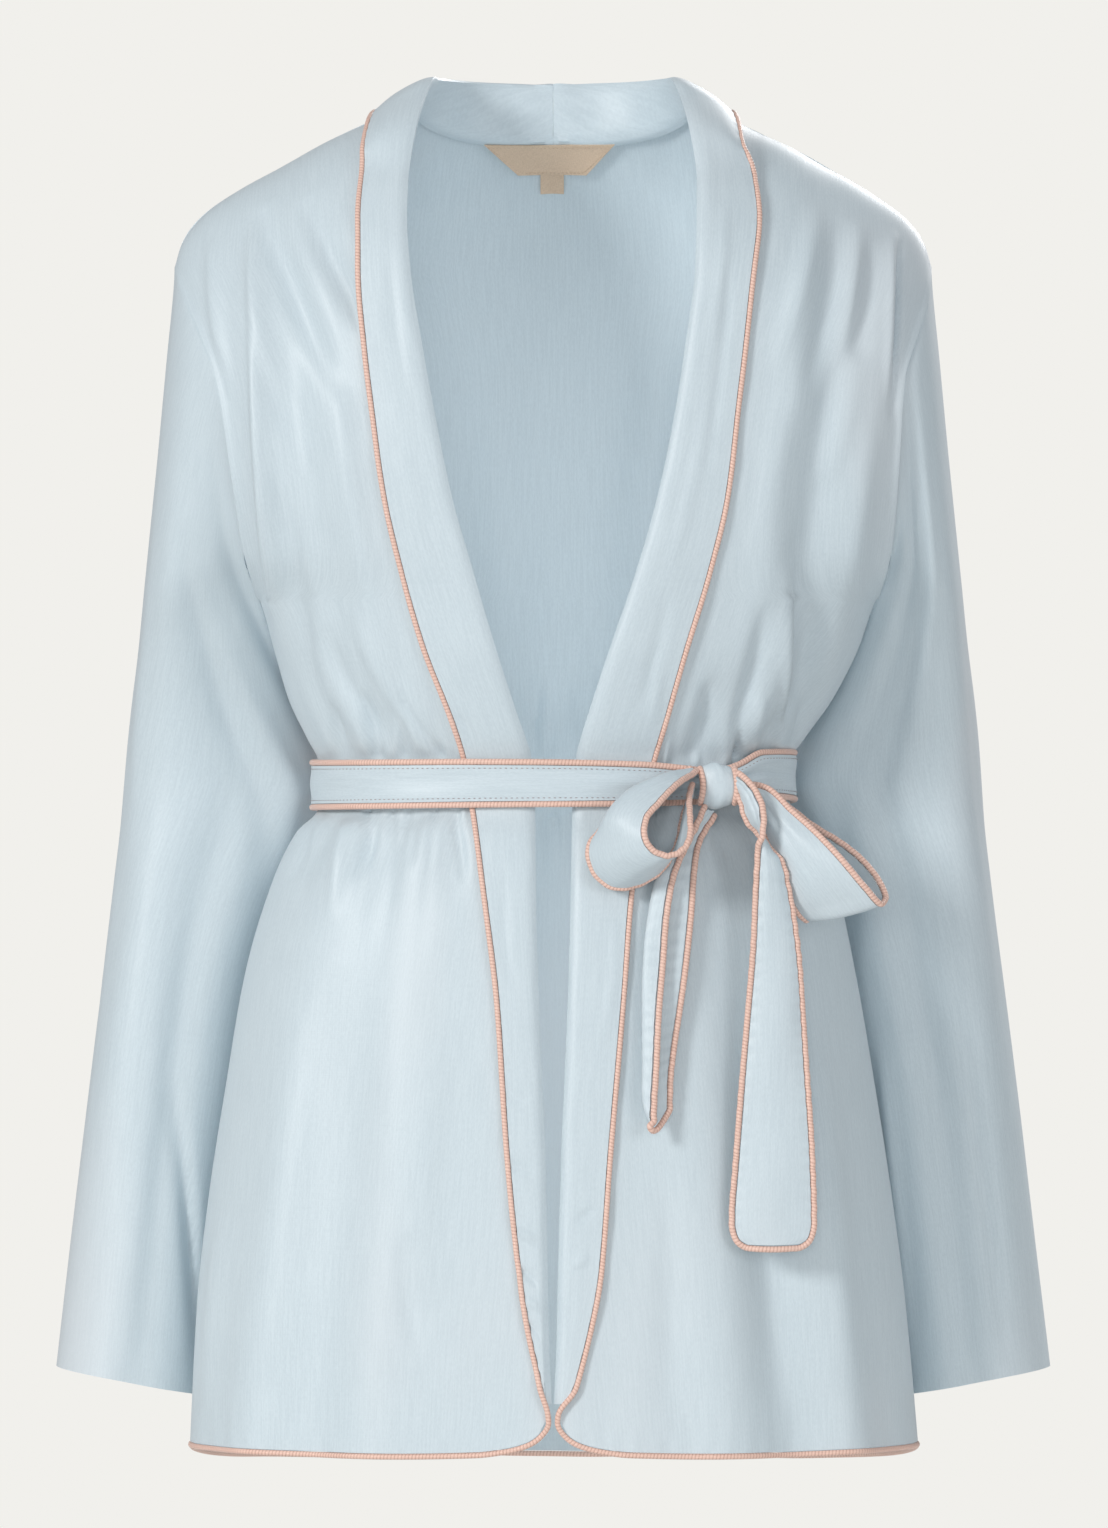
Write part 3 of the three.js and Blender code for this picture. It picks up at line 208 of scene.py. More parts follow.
BACK_CREASES = rows(
    CREASE_COLUMNS,
    (-156, -44, -120, -150, 3, 9, 1, -3), (-130, -40, -96, -130, 3, 8, 1, 2.4),
    (150, -44, 116, -146, -3, 9, 1, -3),
    (126, -42, 94, -120, -3, 8, 1, 2.2), (-132, -250, -96, -342, 4, 7, 0.7, -3.4),
    (-84, -270, -62, -343, 3, 6, 1, 2.8),
    (-46, -290, -38, -344, 0, 4, 1, -2.6), (-8, -296, -10, -344, 0, 4, 0.8, -2.4),
    (28, -284, 22, -344, 1, 5, 1, 2.4),
    (70, -276, 52, -343, -2, 5, 0.8, -3), (112, -250, 84, -342, -4, 7, 0.8, 3),
    (138, -270, 118, -341, -2, 5, 1, -2.6),
    (-110, -372, -124, -440, 2, 5, 0.8, -2.8), (-70, -371, -78, -424, 0, 5, 1, -2.4),
    (-30, -371, -34, -440, 0, 5, 0.8, 2.4),
    (6, -371, 8, -414, 0, 4, 1, -2.4), (44, -371, 50, -430, 0, 5, 0.8, -2.6),
    (84, -371, 96, -436, -2, 5, 1, 2.4),
    (118, -372, 132, -420, -2, 5, 0.8, -2.6), (-148, -480, -170, -700, 3, 12, 0.8, 2.4),
    (-92, -520, -104, -710, 0, 12, 1, -2),
    (34, -520, 38, -712, 3, 12, 1, 2), (124, -500, 142, -700, 0, 12, 0.8, -2.2),
)
# Creases of the turned-back lapels, by distance from the middle and height
LAPEL_CREASES = {
    RIGHT: rows(
        CREASE_COLUMNS,
        (86, -60, 80, -150, 2, 6, 1, 0.8), (82, -170, 66, -250, 1, 5, 1, -0.8),
        (52, -318, 40, -336, 0, 3, 1, 0.7),
        (28, -560, 10, -567, 0, 2.6, 0.7, 1), (24, -596, 8, -604, 0, 2.4, 0.7, -1.2),
        (20, -616, 7, -628, 0, 2.6, 0.6, 1.4),
        (17, -634, 6, -640, 0, 2.4, 0.7, -1.2), (15, -646, 6, -655, 0, 2.2, 0.7, 1),
        (30, -520, 13, -530, 0, 4, 1, 0.8),
        (26, -400, 22, -470, 2, 4, 1, 0.6),
    ),
    LEFT: rows(
        CREASE_COLUMNS,
        (92, -40, 84, -120, 2, 5, 1, -1), (96, -70, 82, -190, 2, 5, 0.7, 1),
        (84, -150, 62, -240, 2, 5, 1, -0.8),
        (62, -250, 46, -320, 2, 5, 0.8, 1), (58, -286, 54, -326, 0, 3, 1, -0.8),
        (38, -392, 20, -402, 0, 4, 1, 0.8),
        (34, -430, 26, -500, 2, 4, 1, -0.7), (24, -586, 10, -594, 0, 3, 0.7, 0.9),
        (20, -612, 8, -618, 0, 3, 0.7, -0.9),
    ),
}
# Folds and creases of the sleeves, by share of the turn from the outer side by way of the front
SLEEVE_FOLDS = rows(
    "from_x from_z to_x to_z width depth",
    (0.15, -100, 0.15, -640, 0.05, 4), (0.26, -190, 0.26, -820, 0.05, -5), (0.74, -160, 0.74, -760, 0.06, -5),
    (0.86, -120, 0.86, -620, 0.05, 4),
)
SLEEVE_CREASES = {
    RIGHT: rows(
        CREASE_COLUMNS,
        (0.28, -215, 0.45, -335, 0, 0.045, 0.7, -4), (0.19, -240, 0.36, -405, 0, 0.04, 0.8, -3.6),
        (0.24, -262, 0.43, -430, 0, 0.035, 1, 2.8), (0.27, -520, 0.41, -676, 0.01, 0.03, 0.45, -4.4),
        (0.21, -420, 0.24, -690, 0, 0.04, 1, 2), (0.08, -180, 0.1, -420, 0, 0.04, 1, 1.8),
        (0.6, -250, 0.78, -420, 0, 0.05, 0.7, -4), (0.56, -330, 0.7, -540, 0, 0.05, 1, 3),
        (0.9, -160, 0.84, -420, 0, 0.05, 1, -2.4), (0.62, -560, 0.58, -690, 0, 0.05, 0.7, -3),
    ),
    LEFT: rows(
        CREASE_COLUMNS,
        (0.2, -120, 0.22, -420, 0, 0.03, 0.8, 2.4), (0.27, -150, 0.3, -360, 0, 0.03, 1, -2.4),
        (0.36, -500, 0.4, -690, 0, 0.022, 0.6, 3), (0.18, -480, 0.185, -690, 0, 0.025, 0.8, -2),
        (0.3, -330, 0.42, -470, 0, 0.04, 1, -2.6), (0.12, -240, 0.1, -480, 0, 0.04, 1, 1.6),
        (0.62, -260, 0.76, -440, 0, 0.05, 0.7, -4), (0.56, -340, 0.68, -560, 0, 0.05, 1, 3),
        (0.9, -150, 0.86, -400, 0, 0.05, 1, -2.4), (0.7, -540, 0.66, -690, 0, 0.05, 0.7, -2.6),
    ),
}

# Gathers above and below the belt
GATHERS = 9
GATHER_DEPTH = 2.6
GATHER_NEAR = 14
GATHER_FAR = 78
TUCK_START = 10

BELT = rows(
    "share z half", (0, -358, 6.5), (0.05, -357, 8.8), (0.12, -356.5, 9.6), (0.3, -357.5, 10.2), (0.6, -358, 11.4),
    (0.87, -352.5, 10.8), (0.945, -351.5, 10), (0.972, -355, 6.8), (1, -358, 4.2),
)
BELT_END_SHARE = 0.0004
KNOT = {"width": 9.4, "depth": 9.2, "height": 12.8, "squareness": 0.72}
KNOT_LEAN = 2.2
KNOT_CORD_REACH = 0.8
KNOT_CORD_RING = 0.6

# Ribbons of the bow and the hanging ends: near edge, middle and far edge from the knot outwards
RIBBON_COLUMNS = "near middle far"
BOW_LOOP_RIGHT = rows(
    RIBBON_COLUMNS,
    ((75.6, -95, -350), (75.4, -92, -349.5), (75, -89, -349)),
    ((66.8, -113, -355.5), (58.5, -107, -352.4), (60, -97, -354.5)),
    ((55.8, -127, -366), (40.5, -120, -361.8), (40, -105, -365)),
    ((48.2, -134, -376), (30.5, -127, -377), (25.5, -110, -381)),
    ((47.6, -137, -385), (32, -128, -388), (20, -114, -391)),
    ((52, -137, -393), (35, -128, -398), (22.5, -114, -403)),
    ((61, -136, -396.5), (45.5, -127, -404), (32.5, -113, -411.5)),
    ((69, -134, -393), (57, -125, -401.5), (45, -112, -411)),
    ((72.8, -130, -386), (66, -121, -394), (58, -110, -404)),
    ((73, -123, -376), (70, -116, -383), (66.5, -107, -391)),
    ((73.2, -110, -366), (72, -106, -369.5), (70.5, -101, -374)),
    ((75.6, -95, -359), (75.4, -92.5, -361), (75.2, -90, -363)),
)
BOW_LOOP_LEFT = rows(
    RIBBON_COLUMNS,
    ((98.4, -89.8, -359), (98.6, -88.8, -361.4), (98.8, -87.8, -363.9)),
    ((113, -94, -360), (110, -95, -364.5), (107.5, -93.5, -369)),
    ((128, -101, -373), (121.5, -101.5, -379), (116, -96, -384)),
    ((141, -108, -385), (131, -107, -393), (121.5, -98, -401)),
    ((154, -113, -398.6), (141, -109, -408), (128.5, -97.5, -415)),
    ((168, -112, -415), (151, -105, -421), (133.5, -94, -425.5)),
    ((175, -108, -422.5), (157, -101, -428), (138.5, -90, -430.5)),
    ((178, -102, -419.5), (159, -94, -424.5), (139.5, -83, -427)),
    ((175, -97, -411), (155, -88, -415), (135, -77.5, -417)),
    ((167, -92, -400.5), (147.5, -83, -403.5), (129, -74, -405.5)),
    ((156, -88, -391), (138.5, -81, -391.5), (122.5, -75, -391.5)),
    ((140, -85, -380.5), (127, -80, -379), (115.5, -77.5, -377)),
    ((118, -83.5, -365), (112, -82, -366), (107.5, -81, -367)),
    ((98.2, -83.5, -356.6), (98.4, -82.5, -359), (98.6, -81.5, -361.5)),
)
BELT_END_RIGHT = rows(
    RIBBON_COLUMNS,
    ((82.9, -92, -370.9), (84.9, -90.2, -371.1), (87, -88.8, -371.2)),
    ((72, -98, -386), (70.5, -95, -387), (77, -91.5, -388)),
    ((64, -103.5, -403), (58.5, -100.5, -404), (74, -97, -404)),
    ((59.5, -108, -425), (52.5, -105, -426), (72.5, -101, -426)),
    ((57, -114, -454), (50, -111, -454), (69.5, -107, -454)),
    ((54.8, -119, -482), (49, -115.5, -482), (66, -111, -480)),
    ((53.4, -122, -510), (49.5, -118.5, -508), (62.5, -114, -503)),
    ((52.4, -124, -536), (51, -120.5, -530), (61, -116, -520)),
    ((53.4, -124.5, -542), (56, -121.5, -539.5), (61, -117.3, -532)),
)
BELT_END_LEFT = rows(
    RIBBON_COLUMNS,
    ((99.4, -97.5, -353), (99.4, -96, -355.5), (99.4, -94.5, -358)),
    ((105.8, -103, -359.5), (104.5, -102, -363), (102.5, -99.5, -366)),
    ((111, -108, -370), (108.5, -106, -373), (105.5, -102, -376)),
    ((112.7, -110, -381), (112, -106, -382), (111.5, -102, -383.5)),
    ((112.9, -110, -388), (114.3, -107.8, -389), (116, -103.5, -390.5)),
    ((112.4, -109.5, -395), (116.5, -109.3, -396), (121, -106, -397)),
    ((111.5, -107.5, -413), (118.5, -108, -413), (125.5, -104, -413)),
    ((110.5, -107, -440), (120, -108, -440), (129.5, -103.5, -440)),
    ((107, -108.5, -482), (120.5, -110, -482), (133, -105, -481)),
    ((103.6, -110.5, -524), (119.5, -112, -524), (135.5, -107, -522)),
    ((100.2, -113, -566), (118.5, -114.5, -566), (138, -110, -564)),
    ((98.6, -114.5, -590), (118, -116, -590), (138.7, -111.5, -589)),
    ((98.9, -115, -597), (118, -116.5, -598), (138.4, -112, -597)),
    ((100.6, -115.2, -601.8), (118, -116.6, -602.4), (136.8, -112.6, -601.8)),
    ((105, -115.4, -605), (118, -116.8, -605.6), (132.4, -113.4, -605)),
)

NECK_LABEL = {"top_left": -38, "top_right": 34, "foot_left": -19.5, "foot_right": 18.5, "top": -3.5, "foot": -19.5,
              "lift": -3.6}
SIZE_TAB = {"top_left": -7, "top_right": 6, "foot_left": -7, "foot_right": 6, "top": -14, "foot": -31, "lift": -1.4}


def curve(table, key, column):
    """Smooth curve through a column of a table that never overshoots its rows."""
    keys = np.array([row[key] for row in table], float)
    values = np.array([row[column] for row in table], float)
    if keys[0] > keys[-1]:
        keys, values = keys[::-1], values[::-1]
    slopes = np.diff(values) / np.diff(keys)
    product = slopes[:-1] * slopes[1:]
    total = np.where(product > 0, slopes[:-1] + slopes[1:], 1)
    inner = np.where(product > 0, 2 * product / total, 0)
    tangents = np.concatenate([slopes[:1], inner, slopes[-1:]])

    def at(place):
        place = np.clip(place, keys[0], keys[-1])
        row = np.clip(np.searchsorted(keys, place, side="right") - 1, 0, len(keys) - 2)
        span = keys[row + 1] - keys[row]
        share = (place - keys[row]) / span
        rest = 1 - share
        start = (1 + 2 * share) * rest**2 * values[row] + share * rest**2 * span * tangents[row]
        end = share**2 * (3 - 2 * share) * values[row + 1] - share**2 * rest * span * tangents[row + 1]
        return start + end

    return at


def mix(start, end, share):
    return start + (end - start) * share


def ease(value):
    value = np.clip(value, 0, 1)
    return value**2 * (3 - 2 * value)


def length(vectors):
    return np.linalg.norm(vectors, axis=-1, keepdims=True)


def unit(vectors):
    return vectors / np.maximum(length(vectors), 1e-9)


crest_height = curve(CREST, "x", "z")
back_neck = curve(BACK_NECK, "x", "z")
front_hem = curve(FRONT_HEM, "x", "z")
half_widths = {side: curve(BODY, "z", name) for side, name in SIDE_NAMES.items()}
depths = {FRONT: curve(BODY, "z", "front"), BACK: curve(BODY, "z", "back")}
armhole_lines = {side: curve(ARMHOLE, "z", name) for side, name in SIDE_NAMES.items()}
fold_lines = {side: curve(OPENING, "z", f"fold_{name}") for side, name in SIDE_NAMES.items()}
edge_lines = {side: curve(OPENING, "z", f"edge_{name}") for side, name in SIDE_NAMES.items()}
sleeve_inner = {side: curve(SLEEVE, "z", f"inner_{name}") for side, name in SIDE_NAMES.items()}
sleeve_outer, sleeve_front, sleeve_back = (curve(SLEEVE, "z", name) for name in ("outer", "front", "back"))
row_outer, row_inner, row_settled = (curve(SLEEVE_ROWS, "row", name) for name in ("outer", "inner", "settled"))
armhole_share = curve(ARMHOLE_ROWS, "row", "share")
belt_height, belt_half = (curve(BELT, "share", name) for name in ("z", "half"))


def by_side(curves, x, z):
    """Reads the right or left curve for each point, by the sign of x."""
    return np.where(x < 0, curves[RIGHT](z), curves[LEFT](z))


def panel_side(side, z):
    line = np.where(z > ARMHOLE[0]["z"], SHOULDER_TIP, armhole_lines[side](z))
    return np.where(z < UNDERARM_Z, half_widths[side](z), line)


def body_point(x, z, face):
    """Smooth body surface under the cloth, without folds."""
    across = np.minimum(1, np.abs(x) / by_side(half_widths, x, z))
    rounded = (1 - across**SQUARENESS) ** (1 / SQUARENESS)
    drop = np.clip((crest_height(np.abs(x)) - z) / CREST_RADIUS, 0, 1)
    depth = depths[face](z) * rounded * np.sqrt(1 - (1 - drop) ** 2)
    return np.stack(np.broadcast_arrays(x, face * (depth + SEAM_GAP / 2), z), -1)


def body_normal(x, z, face, step=1.5):
    along = body_point(x + step, z, face) - body_point(x - step, z, face)
    upward = body_point(x, z + step, face) - body_point(x, z - step, face)
    return unit(np.cross(along, upward)) * (1 if face == FRONT else -1)


def fold_depth(folds, x, z, power=1.4):
    depth = 0
    for fold in folds:
        share = (fold["from_z"] - z) / (fold["from_z"] - fold["to_z"])
        middle = mix(fold["from_x"], fold["to_x"], share)
        fade = np.sin(np.pi * np.clip(share, 0, 1)) ** power
        depth = depth + fold["depth"] * fade * np.exp(-(((x - middle) / fold["width"]) ** 2))
    return depth


def crease_depth(creases, x, z, scale=1):
    """Creases that may lie at any slant. scale turns a share of a turn into millimetres."""
    depth = 0
    for crease in creases:
        start = np.array([crease["from_x"] * scale, crease["from_z"]])
        run = np.array([crease["to_x"] * scale, crease["to_z"]]) - start
        reach = np.linalg.norm(run)
        run = run / reach
        away = (x * scale - start[0], z - start[1])
        share = (away[0] * run[0] + away[1] * run[1]) / reach
        beside = away[1] * run[0] - away[0] * run[1]
        clipped = np.clip(share, 0, 1)
        beside = beside - crease["bow"] * scale * 4 * clipped * (1 - clipped)
        width = CREASE_WIDTH * crease["width"] * scale * np.where(beside > 0, crease["steep"], 1)
        fade = np.sin(np.pi * clipped) ** 0.8
        depth = depth + CREASE_DEPTH * crease["depth"] * fade * np.exp(-((beside / width) ** 2))
    return depth


def gather_depth(x, z, face):
    away = np.abs(z - WAIST_Z)
    share = np.clip((away - GATHER_NEAR) / (GATHER_FAR - GATHER_NEAR), 0, 1)
    strength = np.sin(np.pi * share**0.6) ** 2
    turn = np.arcsin(np.clip(x / by_side(half_widths, x, z), -1, 1)) / np.pi
    wave = np.sin(2 * np.pi * GATHERS * turn + face + 0.9 * np.sin(7 * turn + np.sign(z - WAIST_Z)))
    return GATHER_DEPTH * strength * wave


def tucks(x, z, places, seed):
    """Sharp little pleats that run out from both edges of the belt."""
    random = np.random.default_rng(seed)
    away = np.abs(z - WAIST_Z) - TUCK_START
    depth = 0
    for half in (-1, 1):
        here = np.clip(away / 3, 0, 1) * (half * (z - WAIST_Z) > 0)
        for place in places:
            middle = place + random.uniform(-5, 5) + random.uniform(0.02, 0.22) * np.sign(place) * away
            width = random.uniform(1.2, 2.0) + 0.05 * np.maximum(away, 0)
            height = random.uniform(1.6, 3.2) * random.choice([-1, 1])
            reach = random.uniform(12, 42)
            depth = depth + height * here * np.exp(-np.maximum(away, 0) / reach - ((x - middle) / width) ** 2)
    return depth


def ripple(x, z, seed, wide=1.0):
    """Soft unevenness of hanging cloth, longer down than across."""
    random = np.random.default_rng(seed)
    depth = 0
    for _ in range(9):
        across = 2 * np.pi / random.uniform(26, 90) / wide * random.choice([-1, 1])
        down = 2 * np.pi / random.uniform(120, 420)
        depth = depth + random.uniform(0.06, 0.18) * np.sin(across * x + down * z + random.uniform(0, 6.3))
    return depth


def hem_pucker(x, above, strength):
    wave = np.sin(2 * np.pi * x / HEM_PUCKER + 1.7 * np.sin(x / 23)) * (0.7 + 0.5 * np.sin(x / 37))
    return strength * wave * np.exp(-above / 9) * ease(above / 3 + 0.3)


def relief(x, z, face, side=None):
    """How far the cloth stands out from the smooth body. side is None for the back panel."""
    sides = panel_side(side, z) if side else np.where(x < 0, panel_side(RIGHT, z), panel_side(LEFT, z))
    across = np.abs(x)
    to_side = 1 - ease((across / sides - 0.86) / 0.12)
    near_side = 1 - ease((across / sides - 0.95) / 0.05)
    large = gather_depth(x, z, face)
    if face == FRONT:
        from_lapel = ease((across - edge_lines[side](z) - 4) / 18)
        close_lapel = ease((across - edge_lines[side](z) + 2) / 9)
        large = (large + fold_depth(FRONT_FOLDS[side], across, z)) * from_lapel
        hem = z - front_hem(across)
        small = crease_depth(FRONT_CREASES[side], across, z) + ripple(x, z, 3 + side)
        small = small + tucks(across, z, np.arange(52, 108, 12), 30 + side)
        strength = 0.32 + (0.9 * ease((across - 130) / 50) if side == LEFT else 0)
        small = small * close_lapel + hem_pucker(x, hem, strength)
    else:
        large = large + fold_depth(BACK_FOLDS, x, z)
        hem = z - mix(BACK_HEM_Z, SIDE_HEM_Z, (x / 200) ** 4)
        small = crease_depth(BACK_CREASES, x, z) + ripple(x, z, 9) + hem_pucker(x, hem, 0.4)
        small = small + tucks(x, z, np.arange(-112, 113, 14), 33)
        neck_pucker = np.sin(2 * np.pi * x / 6.5 + np.sin(x / 9)) * np.exp(-((back_neck(across) - z) / 6) ** 2)
        small = small + 0.25 * neck_pucker * (across < 74)
    belt_hold = ease((np.abs(z - WAIST_Z) - 9) / 5)
    seam = np.where(z > UNDERARM_Z, np.exp(-(((sides - across) / 2) ** 2)), 0) * ease((-70 - z) / 30)
    return large * to_side + small * near_side * belt_hold + 1.2 * seam


def cloth_point(x, z, face, lift=0, side=None, plain=False):
    """A point of the cloth, or of a layer that lies at some height over it."""
    x, z = np.broadcast_arrays(np.asarray(x, float), np.asarray(z, float))
    if side is None and face == FRONT:
        side = LEFT if x.flat[x.size // 2] > 0 else RIGHT
    height = 0 if plain else relief(x, z, face, side)
    return body_point(x, z, face) + body_normal(x, z, face) * (np.asarray(height + lift)[..., None])


def spline(points, count):
    """Smooth curve through rows of points, or of rows of points, with even steps."""
    points = np.asarray(points, float)
    steps = np.linalg.norm(np.diff(points, axis=0), axis=-1).reshape(len(points) - 1, -1).mean(1)
    knots = np.concatenate([[0], np.cumsum(steps)])
    tangents = np.gradient(points, knots, axis=0)
    at = np.linspace(0, knots[-1], count)
    row = np.clip(np.searchsorted(knots, at, side="right") - 1, 0, len(knots) - 2)
    shape = (-1,) + (1,) * (points.ndim - 1)
    span = (knots[row + 1] - knots[row]).reshape(shape)
    share = (at - knots[row]).reshape(shape) / span
    rest = 1 - share
    start = (1 + 2 * share) * rest**2 * points[row] + share * rest**2 * span * tangents[row]
    end = share**2 * (3 - 2 * share) * points[row + 1] - share**2 * rest * span * tangents[row + 1]
    return start + end


def grid_normals(grid, tube=False):
    if tube:
        along = np.roll(grid, -1, 1) - np.roll(grid, 1, 1)
    else:
        along = np.gradient(grid, axis=1)
    return unit(np.cross(along, np.gradient(grid, axis=0)))


def mesh_object(name, points, faces, material, uv=None, crisp=50):
    """Object at the origin from points in millimetres. uv holds one pair for each face corner."""
    mesh = bpy.data.meshes.new(name)
    mesh.from_pydata((np.asarray(points) * MM).tolist(), [], faces)
    if uv is not None:
        layer = mesh.uv_layers.new(name="Cloth")
        layer.data.foreach_set("uv", np.asarray(uv, float).ravel())
    mesh.shade_smooth()
    mesh.set_sharp_from_angle(angle=math.radians(crisp))
    mesh.materials.append(material)
    mesh.update()
    piece = bpy.data.objects.new(name, mesh)
    bpy.context.scene.collection.objects.link(piece)
    return piece


def wall(name, inner, outer, material, tube=False):
    """Closed wall between two grids of points, with a map in metres that follows the cloth."""
    count, columns = inner.shape[:2]
    spans = columns if tube else columns - 1
    middle = (inner + outer) / 2
    wrapped = np.concatenate([middle, middle[:, :1]], 1) if tube else middle
    steps = np.linalg.norm(np.diff(wrapped, axis=1), axis=-1)
    share = np.cumsum(steps / steps.sum(1, keepdims=True), 1).mean(0)
    place = np.arange(count) / count
    width = np.polyval(np.polyfit(place, steps.sum(1), 4), place)
    across = (np.concatenate([[0], share]) - 0.5) * width[:, None]
    down = np.cumsum(np.linalg.norm(np.diff(wrapped, axis=0), axis=-1).mean(1))
    down = np.concatenate([[0], down])[:, None] + 0 * across
    chart = np.stack([across, -down], -1) * MM

    row, column = np.meshgrid(np.arange(count - 1), np.arange(spans), indexing="ij")
    row, column = row.ravel(), column.ravel()
    corners = [(row, column), (row, column + 1), (row + 1, column + 1), (row + 1, column)]
    index = np.stack([r * columns + c % columns for r, c in corners], 1)
    place = np.stack([chart[r, c] for r, c in corners], 1)
    layer = count * columns
    faces, charts = [index + layer, index[:, ::-1]], [place, place[:, ::-1]]
    rims = [(np.zeros(spans, int), 1), (np.full(spans, count - 1), -1)]
    for rim_row, turn in rims:
        c = np.arange(spans)
        near, far = rim_row * columns + c, rim_row * columns + (c + 1) % columns
        quad = np.stack([near, far, far + layer, near + layer], 1)[:, ::turn]
        spot = np.stack([chart[rim_row, c], chart[rim_row, c + 1]] * 2, 1)[:, [0, 1, 3, 2]][:, ::turn]
        faces.append(quad)
        charts.append(spot)
    if not tube:
        for rim_column, turn in ((0, -1), (columns - 1, 1)):
            r = np.arange(count - 1)
            near, far = r * columns + rim_column, (r + 1) * columns + rim_column
            faces.append(np.stack([near, far, far + layer, near + layer], 1)[:, ::turn])
            spot = np.stack([chart[r, rim_column], chart[r + 1, rim_column]] * 2, 1)[:, [0, 1, 3, 2]]
            charts.append(spot[:, ::turn])
    points = np.concatenate([inner.reshape(-1, 3), outer.reshape(-1, 3)])
    faces, charts = np.concatenate(faces), np.concatenate(charts)
    a, b, c, d = (points[faces[:, corner]] for corner in range(4))
    volume = (a * np.cross(b, c)).sum() + (a * np.cross(c, d)).sum()
    if volume < 0:
        faces, charts = faces[:, ::-1], charts[:, ::-1]
    return mesh_object(name, points, faces.tolist(), material, charts)


def sheet_wall(name, grid, thickness, material, tube=False):
    """Wall of even thickness about a grid of middle points."""
    shift = grid_normals(grid, tube) * thickness / 2
    return wall(name, grid - shift, grid + shift, material, tube)


def cord(name, path, radius, material, sides=10):
    """Round cord along a path, with domed ends and a map along its length."""
    steps = np.linalg.norm(np.diff(path, axis=0), axis=1)
    run = np.concatenate([[0], np.cumsum(steps)])
    tangents = unit(np.gradient(path, axis=0))
    start = np.array([0, 0, 1.0]) if abs(tangents[0][2]) < 0.8 else np.array([0, 1.0, 0])
    across = np.cross(start, tangents[0])
    turns = 2 * np.pi * (np.arange(sides) + 0.5) / sides
    dome = [(-0.95, 0.3), (-0.7, 0.72), (-0.35, 0.94)]
    rings, runs = [], []
    last = len(path) - 1
    for index, (point, tangent) in enumerate(zip(path, tangents)):
        across = across - tangent * across.dot(tangent)
        across = across / np.linalg.norm(across)
        other = np.cross(tangent, across)
        circle = np.outer(np.cos(turns), across) + np.outer(np.sin(turns), other)
        ends = dome if index == 0 else [(-shift, size) for shift, size in reversed(dome)] if index == last else []
        here = [(0, 1)]
        placed = ends + here if index == 0 else here + ends
        for shift, size in placed:
            rings.append(point + tangent * shift * radius + circle * radius * size)
            runs.append(run[index] + shift * radius)
    count = len(rings)
    ring, side = np.meshgrid(np.arange(count - 1), np.arange(sides), indexing="ij")
    ring, side = ring.ravel(), side.ravel()
    after = (side + 1) % sides
    faces = np.stack([ring * sides + side, ring * sides + after, (ring + 1) * sides + after,
                      (ring + 1) * sides + side], 1)
    runs = np.array(runs) * MM
    chart = np.stack([
        np.stack([runs[ring], side / sides], 1), np.stack([runs[ring], (side + 1) / sides], 1),
        np.stack([runs[ring + 1], (side + 1) / sides], 1), np.stack([runs[ring + 1], side / sides], 1),
    ], 1).reshape(-1, 2)
    caps = [list(range(sides))[::-1], [(count - 1) * sides + spot for spot in range(sides)]]
    first_cap = [[runs[0], spot / sides] for spot in caps[0]]
    last_cap = [[runs[-1], spot / sides] for spot in range(sides)]
    cap_chart = np.array(first_cap + last_cap)
    chart = np.concatenate([chart, cap_chart])
    return mesh_object(name, np.concatenate(rings), faces.tolist() + caps, material, chart, crisp=80)


def beside_edge(edge, inside, distance):
    """Moves a row of edge points away from the cloth that they end, in the cloth's own surface."""
    tangent = unit(np.gradient(edge, axis=0))
    away = edge - inside
    away = unit(away - tangent * (away * tangent).sum(-1, keepdims=True))
    return edge + away * distance


# Shader sockets that do sums with Python's operators
class Value:
    def __init__(self, material, socket):
        self.material = material
        self.socket = socket

    def _sum(self, operation, *terms):
        return self.material.node("ShaderNodeMath", {"operation": operation}, dict(enumerate(terms)))

    def __add__(self, other):
        return self._sum("ADD", self, other)

    def __radd__(self, other):
        return self._sum("ADD", other, self)

    def __sub__(self, other):
        return self._sum("SUBTRACT", self, other)

    def __rsub__(self, other):
        return self._sum("SUBTRACT", other, self)

    def __mul__(self, other):
        return self._sum("MULTIPLY", self, other)

    def __rmul__(self, other):
        return self._sum("MULTIPLY", other, self)

    def __pow__(self, other):
        return self._sum("POWER", self, other)

    def sine(self):
        return self._sum("SINE", self)

    def between(self, low, high):
        """0 at low, 1 at high, held at both ends."""
        settings = {"interpolation_type": "SMOOTHSTEP"}
        return self.material.node("ShaderNodeMapRange", settings, {"Value": self, "From Min": low, "From Max": high})


